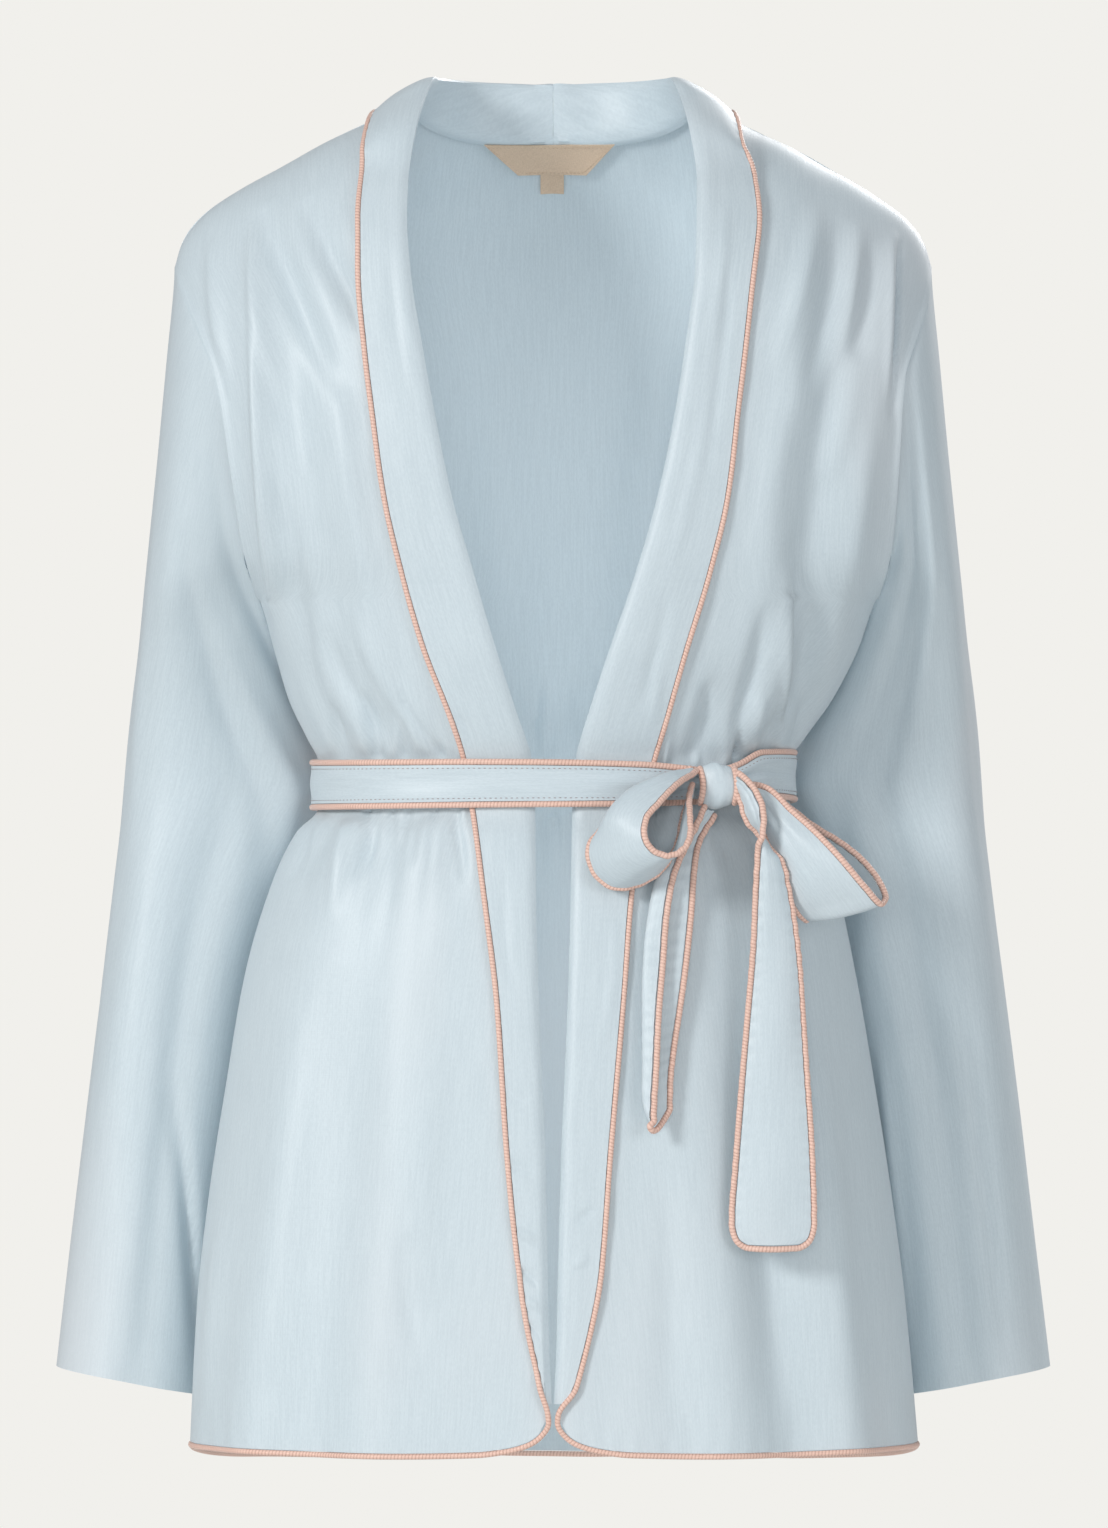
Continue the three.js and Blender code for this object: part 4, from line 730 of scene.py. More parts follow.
class Finish:
    """A procedural material in the making."""

    def __init__(self, name, base, roughness, **shine):
        self.material = bpy.data.materials.new(name)
        self.material.use_nodes = True
        self.material.diffuse_color = base
        self.tree = self.material.node_tree
        self.shader = self.tree.nodes["Principled BSDF"]
        self.put(self.shader, {"Base Color": base, "Roughness": roughness, **shine})

    def put(self, node, inputs):
        for key, value in inputs.items():
            if isinstance(value, Value):
                self.tree.links.new(value.socket, node.inputs[key])
            else:
                node.inputs[key].default_value = value

    def node(self, kind, settings=None, inputs=None, output=0):
        made = self.tree.nodes.new(kind)
        for key, value in (settings or {}).items():
            setattr(made, key, value)
        self.put(made, inputs or {})
        return Value(self, made.outputs[output])

    def chart(self, scale):
        """The piece's own map, in metres along the cloth, scaled."""
        where = self.node("ShaderNodeUVMap", {"uv_map": "Cloth"})
        return self.node("ShaderNodeMapping", {"vector_type": "POINT"}, {"Vector": where, "Scale": scale})

    def place(self, scale):
        where = self.node("ShaderNodeTexCoord", {}, {}, output=3)
        return self.node("ShaderNodeMapping", {"vector_type": "POINT"}, {"Vector": where, "Scale": scale})

    def noise(self, vector, detail=2.0, rough=0.5):
        inputs = {"Vector": vector, "Scale": 1.0, "Detail": detail, "Roughness": rough}
        return self.node("ShaderNodeTexNoise", {}, inputs)

    def blend(self, share, first, second):
        inputs = {0: share, 6: first, 7: second}
        return self.node("ShaderNodeMix", {"data_type": "RGBA"}, inputs, output=2)

    def bump(self, height, distance, strength):
        inputs = {"Height": height, "Distance": distance, "Strength": strength}
        self.put(self.shader, {"Normal": self.node("ShaderNodeBump", {}, inputs)})


def satin_finish():
    """Pale blue satin: fine slubs down the cloth, a twill grain and faint pink blotches of painted sheen at random
    places.
    """
    base, shade, painted_sheen_tint = (0.655, 0.750, 0.800, 1), (0.555, 0.648, 0.700, 1), (0.700, 0.730, 0.760, 1)
    finish = Finish("satin", base, 0.42, **{"Sheen Weight": 0.12, "Sheen Roughness": 0.45,
                                           "Sheen Tint": (1, 0.93, 0.91, 1), "Specular IOR Level": 0.42})
    slub = finish.noise(finish.chart((900, 40, 1)), 3, 0.62)
    grain = finish.noise(finish.chart((1500, 420, 1)), 1, 0.5)
    weft = finish.noise(finish.chart((60, 1300, 1)), 1, 0.5)
    painted_sheen_mask = finish.noise(finish.place((7, 7, 2.4)), 2, 0.5)
    pale = (slub * 0.6 + grain * 0.4).between(0.34, 0.66)
    colour = finish.blend(pale * 0.6 + 0.2, shade, base)
    # painted sheen: a grey-pink highlight tint mixed into the colour in large random blotches
    colour = finish.blend(painted_sheen_mask.between(0.5, 0.74) * 0.5, colour, painted_sheen_tint)
    finish.put(finish.shader, {"Base Color": colour, "Roughness": slub * 0.16 + 0.36})
    finish.bump(slub * 0.5 + grain * 0.35 + weft * 0.25, 0.00022, 0.55)
    return finish.material


def piping_finish():
    """Peach satin drawn over a cord, so that it shows fine slanting ribs, with painted shade darkening the grooves
    between them.
    """
    base, groove_shade = (0.880, 0.595, 0.495, 1), (0.540, 0.310, 0.245, 1)
    finish = Finish("piping", base, 0.4, **{"Sheen Weight": 0.1, "Specular IOR Level": 0.45})
    where = finish.node("ShaderNodeUVMap", {"uv_map": "Cloth"})
    along = finish.node("ShaderNodeSeparateXYZ", {}, {0: where})
    round_it = finish.node("ShaderNodeSeparateXYZ", {}, {0: where}, output=1)
    rib = (along * (2 * math.pi / 0.0019) + round_it * (2 * math.pi)).sine() * 0.5 + 0.5
    wander = finish.noise(finish.chart((90, 2, 1)), 2, 0.5)
    # painted shade: the colour darkens in the grooves between the ribs
    colour = finish.blend(rib.between(0, 0.6) * 0.62 + 0.38, groove_shade, base)
    colour = finish.blend(wander.between(0.4, 0.7) * 0.25, colour, (0.90, 0.64, 0.54, 1))
    finish.put(finish.shader, {"Base Color": colour, "Roughness": wander * 0.2 + 0.32})
    finish.bump(rib, 0.0003, 0.5)
    return finish.material


def label_finish():
    """Matt woven tape in warm beige."""
    base, shade = (0.760, 0.590, 0.440, 1), (0.640, 0.480, 0.345, 1)
    finish = Finish("label_tape", base, 0.62, **{"Sheen Weight": 0.15, "Specular IOR Level": 0.3})
    across = finish.noise(finish.chart((500, 2600, 1)), 1, 0.5)
    down = finish.noise(finish.chart((2600, 500, 1)), 1, 0.5)
    weave = across * 0.5 + down * 0.5
    finish.put(finish.shader, {"Base Color": finish.blend(weave.between(0.3, 0.7), shade, base),
                               "Roughness": weave * 0.2 + 0.5})
    finish.bump(weave, 0.0002, 0.6)
    return finish.material


def thread_finish(name, base, shade):
    finish = Finish(name, base, 0.5, **{"Sheen Weight": 0.1})
    ply = finish.noise(finish.place((1400, 1400, 1400)), 1, 0.5)
    finish.put(finish.shader, {"Base Color": finish.blend(ply.between(0.35, 0.65), shade, base)})
    return finish.material


def stage_finish():
    finish = Finish("pale_floor", (0.86, 0.855, 0.83, 1), 0.8)
    cloud = finish.noise(finish.place((3, 3, 3)), 2, 0.5)
    finish.put(finish.shader, {"Roughness": cloud * 0.1 + 0.75})
    return finish.material


# Fine rows and columns of the panels
def panel_heights(top, foot):
    """Heights down each column, close together at the shoulder, from its top to its foot."""
    upper = mix(top, UNDERARM_Z, (np.linspace(0, 1, 78) ** 1.5)[:, None])
    body = np.linspace(UNDERARM_Z, SIDE_END_Z, 136)[1:, None] + 0 * top
    lower = mix(SIDE_END_Z, foot, np.linspace(0, 1, 30)[1:, None])
    return np.concatenate([upper, body, lower])


def spread(start, side_line, width, share):
    """Places across a panel that are even round the body, from its inner edge to its side."""
    first = np.arcsin(np.clip(start / width, 0, 1) ** (SQUARENESS / 2))
    last = np.arcsin(np.clip(side_line / width, 0, 1) ** (SQUARENESS / 2))
    return width * np.sin(mix(first, last, share)) ** (2 / SQUARENESS)


def front_places(side, columns=124):
    share = np.linspace(0, 1, columns)[None] ** 1.12
    start = NECK_HALF_WIDTH + ROLL_REACH
    top_x = spread(start, SHOULDER_TIP, half_widths[side](0.0), share)
    foot_start = fold_lines[side](CORNER_Z) + ROLL_REACH
    foot_x = spread(foot_start, panel_side(side, FRONT_FOOT_Z), half_widths[side](FRONT_FOOT_Z), share)
    z = panel_heights(crest_height(top_x), front_hem(foot_x))
    across = spread(fold_lines[side](z) + ROLL_REACH, panel_side(side, z), half_widths[side](z), share)
    across[0] = top_x
    return side * across, z


def back_places(columns=86):
    share = np.linspace(0, 1, columns)[None]
    halves = []
    for side in (RIGHT, LEFT):
        top_x = spread(0, SHOULDER_TIP, half_widths[side](0.0), share)
        foot_share = share**4
        top = np.where(top_x < NECK_HALF_WIDTH - 0.1, back_neck(top_x), crest_height(top_x))
        z = panel_heights(top, mix(BACK_HEM_Z, SIDE_HEM_Z, foot_share))
        halves.append((side * spread(0, panel_side(side, z), half_widths[side](z), share), z))
    (right_x, right_z), (left_x, left_z) = halves
    x = np.concatenate([right_x[:, :0:-1], left_x], 1)
    return x, np.concatenate([right_z[:, :0:-1], left_z], 1)


def panel(name, places, face, material, side=None):
    x, z = places
    inner = cloth_point(x, z, face, CLOTH_LIFT, side)
    outer = cloth_point(x, z, face, CLOTH_LIFT + CLOTH, side)
    return wall(name, inner, outer, material)


def armhole_loop(side, around):
    """The armhole's loop, from the shoulder down the front and up the back."""
    row = 20 * np.where(around <= 0.5, around, 1 - around)
    share = armhole_share(row)
    z = mix(crest_height(SHOULDER_TIP) + 0 * row, UNDERARM_Z, share)
    outward = ((1 - np.cos(np.pi * row / 10)) / 2) ** 4
    loop = []
    for face in (FRONT, BACK):
        line = panel_side(side, z)
        edge = cloth_point(side * line, z, face, 0.7, side if face == FRONT else None, plain=True)
        inside = cloth_point(side * line * 0.985, z, face, 0.7, side if face == FRONT else None, plain=True)
        normal = body_normal(side * line, z, face)
        beyond = unit(edge - inside) * mix(SLEEVE_GAP, 0, outward)[:, None]
        loop.append(edge + beyond + normal * (outward * UNDERARM_LIFT)[:, None])
    front, back = loop
    turn = np.minimum(around, 1 - around)
    at_front = np.where(around <= 0.5, 1, 0)[:, None] * np.ones((1, 3))
    near_join = np.minimum(np.minimum(turn, 0.5 - turn) * 20, 1)[:, None]
    chosen = at_front * front + (1 - at_front) * back
    return mix((front + back) / 2, chosen, near_join)


def sleeve_grid(side, columns=116, count=190):
    around = np.arange(columns) / columns
    loop = armhole_loop(side, around)
    row = 14 * np.linspace(0, 1, count)[:, None] ** 1.05
    cos, sin = np.cos(2 * np.pi * around), np.sin(2 * np.pi * around)
    z = mix(row_outer(row), row_inner(row), (1 - cos) / 2)
    outer, inner = sleeve_outer(z), sleeve_inner[side](z)
    front, back = sleeve_front(z), sleeve_back(z)
    rounded = (np.abs(cos) ** SQUARENESS + np.abs(sin) ** SQUARENESS) ** (-1 / SQUARENESS)
    reach, depth = (outer - inner) / 2, (back - front) / 2
    turn = around + 0 * z
    folds = fold_depth(SLEEVE_FOLDS, turn, z, power=1.0)
    folds = folds + crease_depth(SLEEVE_CREASES[side], turn, z, scale=SLEEVE_ROUND)
    folds = folds + ripple(turn * SLEEVE_ROUND, z, 20 + side) * 1.1
    swell = rounded * (1 + folds / depth)
    free = np.stack([side * (inner + reach + reach * cos * swell), front + depth - depth * sin * swell, z], -1)
    grid = mix(loop[None], free, row_settled(row)[..., None])
    pucker = 0.35 * np.sin(2 * np.pi * turn * SLEEVE_ROUND / 12 + np.sin(turn * 40)) * np.exp(-row / 0.5)
    ditch = 1.5 * np.exp(-row / 0.3) * ease(4 * np.sin(np.pi * turn) ** 2)
    normals = grid_normals(grid, tube=True)
    outward = np.sign(((grid - grid.mean(1, keepdims=True)) * normals).sum())
    return grid + normals * (outward * (pucker - ditch))[..., None]


def collar_section(side, row):
    """One cross-section of the collar: inner leg, roll and the leg that falls outside."""
    x, z, face = side * row["x"], row["z"], row["face"]
    seam, normal = cloth_point(x, z, face, 0, side, True), body_normal(x, z, face)
    neck = row.get("roll") is not None
    lean = min(1, row["x"] / NECK_HALF_WIDTH)
    step = (4 * lean, -4) if neck else (4, 0)
    away = unit(cloth_point(x + side * step[0], z + step[1], face, 0, side, True) - seam)

    def start(outward, lift):
        return seam + away * outward + normal * lift

    def over(share):
        return cloth_point(side * mix(row["x"], edge_lines[side](z), share), z, face, LAPEL_LIFT, side, True)

    mirror = np.array([side, 1, 1])
    root, bend = (start(5, -1.8), start(-1.3, -2.1)) if neck else (start(5, -1.7), start(1.5, -1.7))
    roll = row["roll"] * mirror if neck else start(-ROLL_REACH, 0.8)
    tip = row["edge"] * mirror if neck else over(1)
    legs = unit((bend + tip) / 2 - roll)
    apart = tip - bend
    apart = unit(apart - legs * apart.dot(legs))

    def beside(reach):
        return roll + legs * 2 + apart * reach

    def fall(share):
        if neck:
            return mix(beside(1.6), tip, share) + apart * 2.4 * math.sin(math.pi * share)
        return over(share)

    return [root, bend, beside(-1.6), roll, beside(1.6), fall(0.35), fall(0.7), tip]


def collar_grid(side, count=430, columns=26):
    lapel = [{"face": FRONT, "x": float(fold_lines[side](z)) + ROLL_REACH, "z": z}
             for z in np.linspace(-26, LAPEL_END_Z, 60)]
    sections = np.array([collar_section(side, row) for row in COLLAR + lapel])
    sections[0, :, 0] = side * 0.1
    grid = spline(sections, count)
    grid = spline(grid.transpose(1, 0, 2), columns).transpose(1, 0, 2)
    column = np.arange(columns)[None] / (columns - 1)
    falling = ease((column - 0.42) / 0.2)
    along = np.concatenate([[0], np.cumsum(np.linalg.norm(np.diff(grid[:, -1], axis=0), axis=1))])[:, None]
    x, z = np.abs(grid[..., 0]), grid[..., 2]
    lapels = ease((along - 120) / 60)
    shift = crease_depth(LAPEL_CREASES[side], x, z) * falling * lapels
    shift = shift + 0.3 * ripple(x * 1.6, z, 40 + side) * falling * lapels
    reach = np.cumsum(np.linalg.norm(np.diff(grid, axis=1), axis=-1), 1)
    reach = np.concatenate([np.zeros((count, 1)), reach], 1)
    seam_pucker = np.sin(2 * np.pi * reach / 6.2 + along / 5) * np.exp(-along / 11)
    drag = np.exp(-(((reach - 8 - along * 0.22) / 3.2) ** 2)) * ease(along / 14) * ease((58 - along) / 30)
    shift = shift - 0.75 * seam_pucker * (1 - 0.5 * falling) - 0.9 * drag * (side == LEFT)
    piped = 0.16 * np.sin(along / 1.35 + np.sin(along / 31)) * ease((column - 0.93) / 0.07)
    return grid + grid_normals(grid) * (side * (shift + piped))[..., None]


def edge_piping_path(side, collar, front_xz):
    lapel = beside_edge(collar[:, -1], collar[:, -3], PIPING_RADIUS + 0.25)
    near = PIPING_RADIUS + 0.3

    def near_edge(x, z, lift):
        return cloth_point(side * x, z, FRONT, lift, side, True)

    turn = np.array([near_edge(2.7, -697.5, 3.2), near_edge(2.6, -702.5, 2)])
    x, z = front_xz[0][-1], front_xz[1][-1]
    hem = cloth_point(x, z, FRONT, 0.8, side)
    above = cloth_point(x + np.where(np.abs(x) < 20, 2.5 * side, 0), z + 3, FRONT, 0.8, side)
    foot = beside_edge(hem, above, near)
    foot = foot[np.abs(foot[:, 0]) > 6]
    path = np.concatenate([lapel[::5], turn, foot[::2], foot[-1:]])
    keep = np.concatenate([[True], np.linalg.norm(np.diff(path, axis=0), axis=1) > 0.8])
    return spline(path[keep], 820)


def waist_point(share, lift):
    """The waist as a loop from the knot over the front, the right side and the back."""
    angle = math.asin(KNOT_TURN_X / half_widths[LEFT](WAIST_Z)) - 2 * math.pi * share
    face = np.where(np.cos(angle) >= 0, FRONT, BACK)
    x = np.sin(angle) * np.where(np.sin(angle) < 0, half_widths[RIGHT](WAIST_Z), half_widths[LEFT](WAIST_Z))
    z = WAIST_Z + 0 * x
    front = body_point(x, z, FRONT) + body_normal(x, z, FRONT) * lift
    back = body_point(x, z, BACK) + body_normal(x, z, BACK) * lift
    return np.where((face == FRONT)[..., None], front, back)


def belt_grid(count=340, columns=13):
    share = np.linspace(0, 1, count)
    points = waist_point(mix(BELT_END_SHARE, 1 - BELT_END_SHARE, share), BELT_LIFT)
    to_side = (np.abs(points[:, :1]) / BELT_SIDE_X) ** 12
    points = points - unit(points * np.array([1, 0, 0])) * (BELT_SIDE_PULL * to_side)
    across = np.linspace(1, -1, columns)
    grid = np.repeat(points[:, None], columns, 1)
    grid[..., 2] = belt_height(share)[:, None] + belt_half(share)[:, None] * across
    to_knot = np.minimum(share * 2.2, 1 - share)[:, None]
    pleats = np.sin(across * 6.2 + 3 * share[:, None] + 0.8) * np.exp(-((to_knot / 0.085) ** 2)) * 1.9
    drags = np.sin(across * 3.4 + 21 * share[:, None]) * 0.35 + np.sin(57 * share[:, None] - 2.1 * across) * 0.22
    held = 1 - np.abs(across) ** 4
    outward = unit(points * np.array([1, 1, 0]))
    return grid + outward[:, None] * ((pleats + drags) * held)[..., None]


def knot_centre():
    return waist_point(np.array(0.0), BELT_LIFT + 0.9 + KNOT_GAP + KNOT["depth"])


def knot_surface(ball):
    """Raises points of a ball to the knot's squarer form."""
    size = np.array([KNOT["width"], KNOT["depth"], KNOT["height"]])
    form = np.sign(ball) * np.abs(ball) ** KNOT["squareness"]
    lean = KNOT_LEAN * (1 - 1.5 * form[..., 2:] ** 2) * np.array([1, 0, 0])
    return form * size + lean


def knot_piece(material, columns=64, count=40):
    """The knot: a band drawn tightly round the belt, with puckers where it turns under."""
    turn = np.linspace(0, 2 * np.pi, columns, endpoint=False)
    down = np.linspace(0.04, np.pi - 0.04, count)[:, None]
    ball = np.stack([np.sin(down) * np.sin(turn), -np.sin(down) * np.cos(turn), np.cos(down) + 0 * turn], -1)
    points = knot_surface(ball)
    creases = 0.5 * np.sin(8 * ball[..., 0] + 1.3) * (0.3 + 0.7 * np.abs(ball[..., 2]))
    waist = -0.5 * np.exp(-((ball[..., 0] / 0.35) ** 2)) * np.abs(ball[..., 2]) ** 2
    points = points * (1 + (creases + waist) / 12)[..., None] + knot_centre()
    rings = points.reshape(-1, 3)
    index = np.arange(count * columns).reshape(count, columns)
    after = np.roll(index, -1, 1)
    faces = np.stack([index[:-1], index[1:], after[1:], after[:-1]], -1).reshape(-1, 4)
    chart = np.stack([np.stack(np.broadcast_arrays(turn * 0.009, -down * 0.012), -1)] * 4, -2)[:-1].reshape(-1, 2)
    caps = [index[0].tolist(), index[-1, ::-1].tolist()]
    chart = np.concatenate([chart, np.zeros((2 * columns, 2))])
    return mesh_object("knot_satin", rings, faces.tolist() + caps, material, chart, crisp=80)


def knot_piping_path(sign):
    turn = np.linspace(-1, 1, 44) * np.pi / 2.35
    ring = KNOT_CORD_RING * np.stack([np.cos(turn), np.sin(turn)])
    ball = np.stack([0 * turn + sign * KNOT_CORD_REACH, -ring[0], ring[1]], -1)
    size = np.array([KNOT["width"], KNOT["depth"], KNOT["height"]])
    outward = unit(np.sign(ball) * np.abs(ball) ** (2 - KNOT["squareness"]) / size)
    return knot_centre() + knot_surface(ball) + outward * (BELT_PIPING_RADIUS - 0.2)


def ribbon_grid(stations, count, columns=17, seed=0, drag=0.8, pucker=0.28, both_ends=False):
    """Ribbon of the belt, with creases that fan out from the knot and puckers along its piping."""
    near, middle, far = (np.array([row[name] for row in stations], float) for name in RIBBON_COLUMNS.split())
    edges = spline(np.stack([near, middle, far], 1), count)
    near, middle, far = edges[:, 0], edges[:, 1], edges[:, 2]
    pull = 2 * middle - (near + far) / 2
    share = np.linspace(0, 1, columns)[None, :, None]
    near, pull, far = near[:, None], pull[:, None], far[:, None]
    grid = mix(mix(near, pull, share), mix(pull, far, share), share)
    run = np.linspace(0, 1, count)[:, None]
    across = share[..., 0]
    wide = np.linalg.norm(far - near, axis=-1)
    to_knot = np.minimum(run, 1 - run) if both_ends else run
    random = np.random.default_rng(seed)
    waves = sum(random.uniform(0.5, 1) * np.sin(2 * np.pi * n * across + random.uniform(0, 6.3) + 3 * run)
                for n in (1.1, 1.9, 2.7))
    held = np.sin(np.pi * across) ** 0.5
    shift = drag * waves * np.exp(-to_knot / 0.2) * np.minimum(1, wide / 18) * held
    shift = shift + 0.28 * np.sin(2 * np.pi * (run * 3.1 + across * 0.7) + seed)
    rim = np.exp(-across * wide / 3) + np.exp(-(1 - across) * wide / 3)
    total = np.linalg.norm(np.diff(grid[:, columns // 2], axis=0), axis=1).sum()
    shift = shift + pucker * np.sin(2 * np.pi * run * total / 8.5 + 1.4 * np.sin(run * total / 19)) * rim
    return grid + grid_normals(grid) * shift[..., None]


def end_piping_path(grid):
    count, columns = grid.shape[:2]
    last, across = count - 1, columns - 1
    rim = [(row, 0) for row in range(0, last + 1, 3)] + [(last, column) for column in range(2, across - 1, 2)]
    rim += [(last - row, across) for row in range(0, last + 1, 3)]
    edge = np.array([grid[spot] for spot in rim])
    inside = np.array([grid[min(row, last - 3), min(across - 1, max(1, column))] for row, column in rim])
    return spline(beside_edge(edge, inside, BELT_PIPING_RADIUS + 0.5), 460)


def neck_piece(name, shape, material):
    """A small flat piece inside the back neck."""
    down = np.linspace(0, 1, 12)[:, None]
    across = np.linspace(0, 1, 34)[None]
    left, right = mix(shape["top_left"], shape["foot_left"], down), mix(shape["top_right"], shape["foot_right"], down)
    x, z = mix(left, right, across), mix(shape["top"], shape["foot"], down) + 0 * across
    curl = 0.35 * np.sin(across * 5 + down * 2) + 0.5 * down**2
    normal = body_normal(x, z, BACK)
    inner = cloth_point(x, z, BACK, 0, None, True) + normal * (shape["lift"] - LABEL_SINK - curl)[..., None]
    return wall(name, inner, inner + normal * LABEL_CLOTH, material)


def label_outline(shape, inset):
    left, right = shape["top_left"] + inset * 2, shape["top_right"] - inset * 2
    foot_left, foot_right = shape["foot_left"] + inset, shape["foot_right"] - inset
    top, foot = shape["top"] - inset, shape["foot"] + inset
    corners = np.array([(left, top), (right, top), (foot_right, foot), (foot_left, foot), (left, top)], float)
    steps = np.concatenate([mix(corners[i], corners[i + 1], np.linspace(0, 1, 20)[:, None]) for i in range(4)])
    x, z = steps[:, 0], steps[:, 1]
    down = (shape["top"] - z) / (shape["top"] - shape["foot"])
    lift = shape["lift"] - LABEL_SINK - 0.5 * down**2 - 0.25
    return cloth_point(x, z, BACK, 0, None, True) + body_normal(x, z, BACK) * lift[:, None]


def stitch_tree(material):
    """Geometry Nodes: small stitches in a row along a path."""
    tree = bpy.data.node_groups.new("stitch_row", "GeometryNodeTree")
    interface = tree.interface
    interface.new_socket("Geometry", in_out="INPUT", socket_type="NodeSocketGeometry")
    for name, value in (("Pitch", 0.003), ("Length", 0.0018), ("Thickness", 0.0005)):
        interface.new_socket(name, in_out="INPUT", socket_type="NodeSocketFloat").default_value = value
    interface.new_socket("Geometry", in_out="OUTPUT", socket_type="NodeSocketGeometry")

    def node(kind, settings=None, inputs=None, output=0):
        made = tree.nodes.new(kind)
        for key, value in (settings or {}).items():
            setattr(made, key, value)
        for key, value in (inputs or {}).items():
            if isinstance(value, bpy.types.NodeSocket):
                tree.links.new(value, made.inputs[key])
            else:
                made.inputs[key].default_value = value
        return made.outputs[output] if made.outputs else made

    entry = tree.nodes.new("NodeGroupInput")
    pitch, reach, thick = (entry.outputs[name] for name in ("Pitch", "Length", "Thickness"))
    path = node("GeometryNodeMeshToCurve", {}, {"Mesh": entry.outputs["Geometry"]})
    even = node("GeometryNodeResampleCurve", {"mode": "LENGTH"}, {"Curve": path, "Length": pitch})
    tangent = node("GeometryNodeInputTangent")
    turned = node("FunctionNodeAlignRotationToVector", {"axis": "Z"}, {"Vector": tangent})
    bead = node("GeometryNodeMeshIcoSphere", {}, {"Radius": 0.5, "Subdivisions": 1})
    size = node("ShaderNodeCombineXYZ", {}, {"X": thick, "Y": thick, "Z": reach})
    inputs = {"Points": even, "Instance": bead, "Rotation": turned, "Scale": size}
    placed = node("GeometryNodeInstanceOnPoints", {}, inputs)
    real = node("GeometryNodeRealizeInstances", {}, {"Geometry": placed})
    smooth = node("GeometryNodeSetShadeSmooth", {}, {"Geometry": real})
    done = node("GeometryNodeSetMaterial", {}, {"Geometry": smooth, "Material": material})
    exit_node = tree.nodes.new("NodeGroupOutput")
    tree.links.new(done, exit_node.inputs["Geometry"])
    return tree


def stitch_rows(name, paths, tree, pitch=3.0, reach=1.9, thickness=0.5):
    """Stitches along one or more paths, as one piece."""
    points, edges = [], []
    for path in paths:
        first = len(points)
        points += (np.asarray(path) * MM).tolist()
        edges += [(first + i, first + i + 1) for i in range(len(path) - 1)]
    mesh = bpy.data.meshes.new(f"{name}_path")
    mesh.from_pydata(points, edges, [])
    guide = bpy.data.objects.new(f"{name}_path", mesh)
    bpy.context.scene.collection.objects.link(guide)
    modifier = guide.modifiers.new("stitch_row", "NODES")
    modifier.node_group = tree
    sizes = {"Pitch": pitch * MM, "Length": reach * MM, "Thickness": thickness * MM}
    for item in tree.interface.items_tree:
        if item.name in sizes:
            modifier[item.identifier] = sizes[item.name]
    graph = bpy.context.evaluated_depsgraph_get()
    baked = bpy.data.meshes.new_from_object(guide.evaluated_get(graph))
    bpy.data.objects.remove(guide)
    piece = bpy.data.objects.new(name, baked)
    bpy.context.scene.collection.objects.link(piece)
    return piece


def finish_piece(piece, slot, *nodes):
    """Rides on the robe's one body and stands for its CAD nodes, which it hides. slot is not used."""
    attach(piece, "root")
    if nodes:
        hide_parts(*nodes)
    return piece


# Camera, light and floor
def aim(item, target):
    direction = Vector(target) - item.location
    item.rotation_euler = direction.to_track_quat("-Z", "Y").to_euler()


def add_light(name, place, size, power, colour=(1, 1, 1), target=(0, 0, -0.35)):
    light = bpy.data.lights.new(name, "AREA")
    light.shape = "DISK"
    light.size = size
    light.energy = power
    light.color = colour
    item = bpy.data.objects.new(name, light)
    item.location = place
    aim(item, target)
    bpy.context.scene.collection.objects.link(item)


def add_inner_light(name, height, tall, power):
    """Soft light in the robe's hollow, unseen by the camera, on the inside of the back."""
    light = bpy.data.lights.new(name, "AREA")
    light.shape = "RECTANGLE"
    light.size = INNER_LIGHT_WIDTH
    light.size_y = tall
    light.energy = power
    item = bpy.data.objects.new(name, light)
    item.location = (0, INNER_LIGHT_Y, height)
    item.rotation_euler = (math.pi / 2, 0, 0)
    item.visible_camera = False
    bpy.context.scene.collection.objects.link(item)


def add_camera():
    camera = bpy.data.cameras.new("camera")
    camera.sensor_fit = "VERTICAL"
    camera.sensor_height = 24
    camera.lens = CAMERA_LENS
    camera.clip_end = 40
    item = bpy.data.objects.new("camera", camera)
    item.location = CAMERA_PLACE
    item.rotation_euler = (math.pi / 2, 0, 0)
    bpy.context.scene.collection.objects.link(item)
    bpy.context.scene.camera = item


def add_studio():
    """Soft light from the front left, and a plain pale surround."""
    scene = bpy.context.scene
    scene.view_settings.view_transform = "Standard"
    world = bpy.data.worlds.new("studio")
    scene.world = world
    world.use_nodes = True
    tree = world.node_tree
    ground = tree.nodes["Background"]
    ground.inputs["Color"].default_value = (0.96, 0.98, 1.0, 1)
    ground.inputs["Strength"].default_value = 0.4
    plain = tree.nodes.new("ShaderNodeBackground")
    plain.inputs["Color"].default_value = (0.880, 0.871, 0.838, 1)
    rays = tree.nodes.new("ShaderNodeLightPath")
    share = tree.nodes.new("ShaderNodeMixShader")
    tree.links.new(rays.outputs["Is Camera Ray"], share.inputs[0])
    tree.links.new(ground.outputs[0], share.inputs[1])
    tree.links.new(plain.outputs[0], share.inputs[2])
    tree.links.new(share.outputs[0], tree.nodes["World Output"].inputs[0])
    add_light("key", (-4.6, -5.2, 1.9), 1.8, 256, (1, 0.985, 0.97))
    add_light("front", (-0.3, -7.5, 0.1), 1.6, 60, (1, 0.99, 0.98))
    add_light("fill", (4.5, -6.0, 0.6), 3.5, 80, (0.97, 0.98, 1))
    add_light("rear", (2.5, 5.5, 2.4), 3.0, 190)
    add_inner_light("inside_upper", -0.2, 0.24, 0.12)
    add_inner_light("inside_lower", -0.55, 0.33, 0.16)


def add_floor():
    turns = np.linspace(0, 2 * np.pi, 96, endpoint=False)
    rim = np.stack([FLOOR_RADIUS * np.cos(turns), FLOOR_RADIUS * np.sin(turns), 0 * turns + FLOOR_Z], -1)
    floor = mesh_object("floor", rim, [list(range(96))], stage_finish())


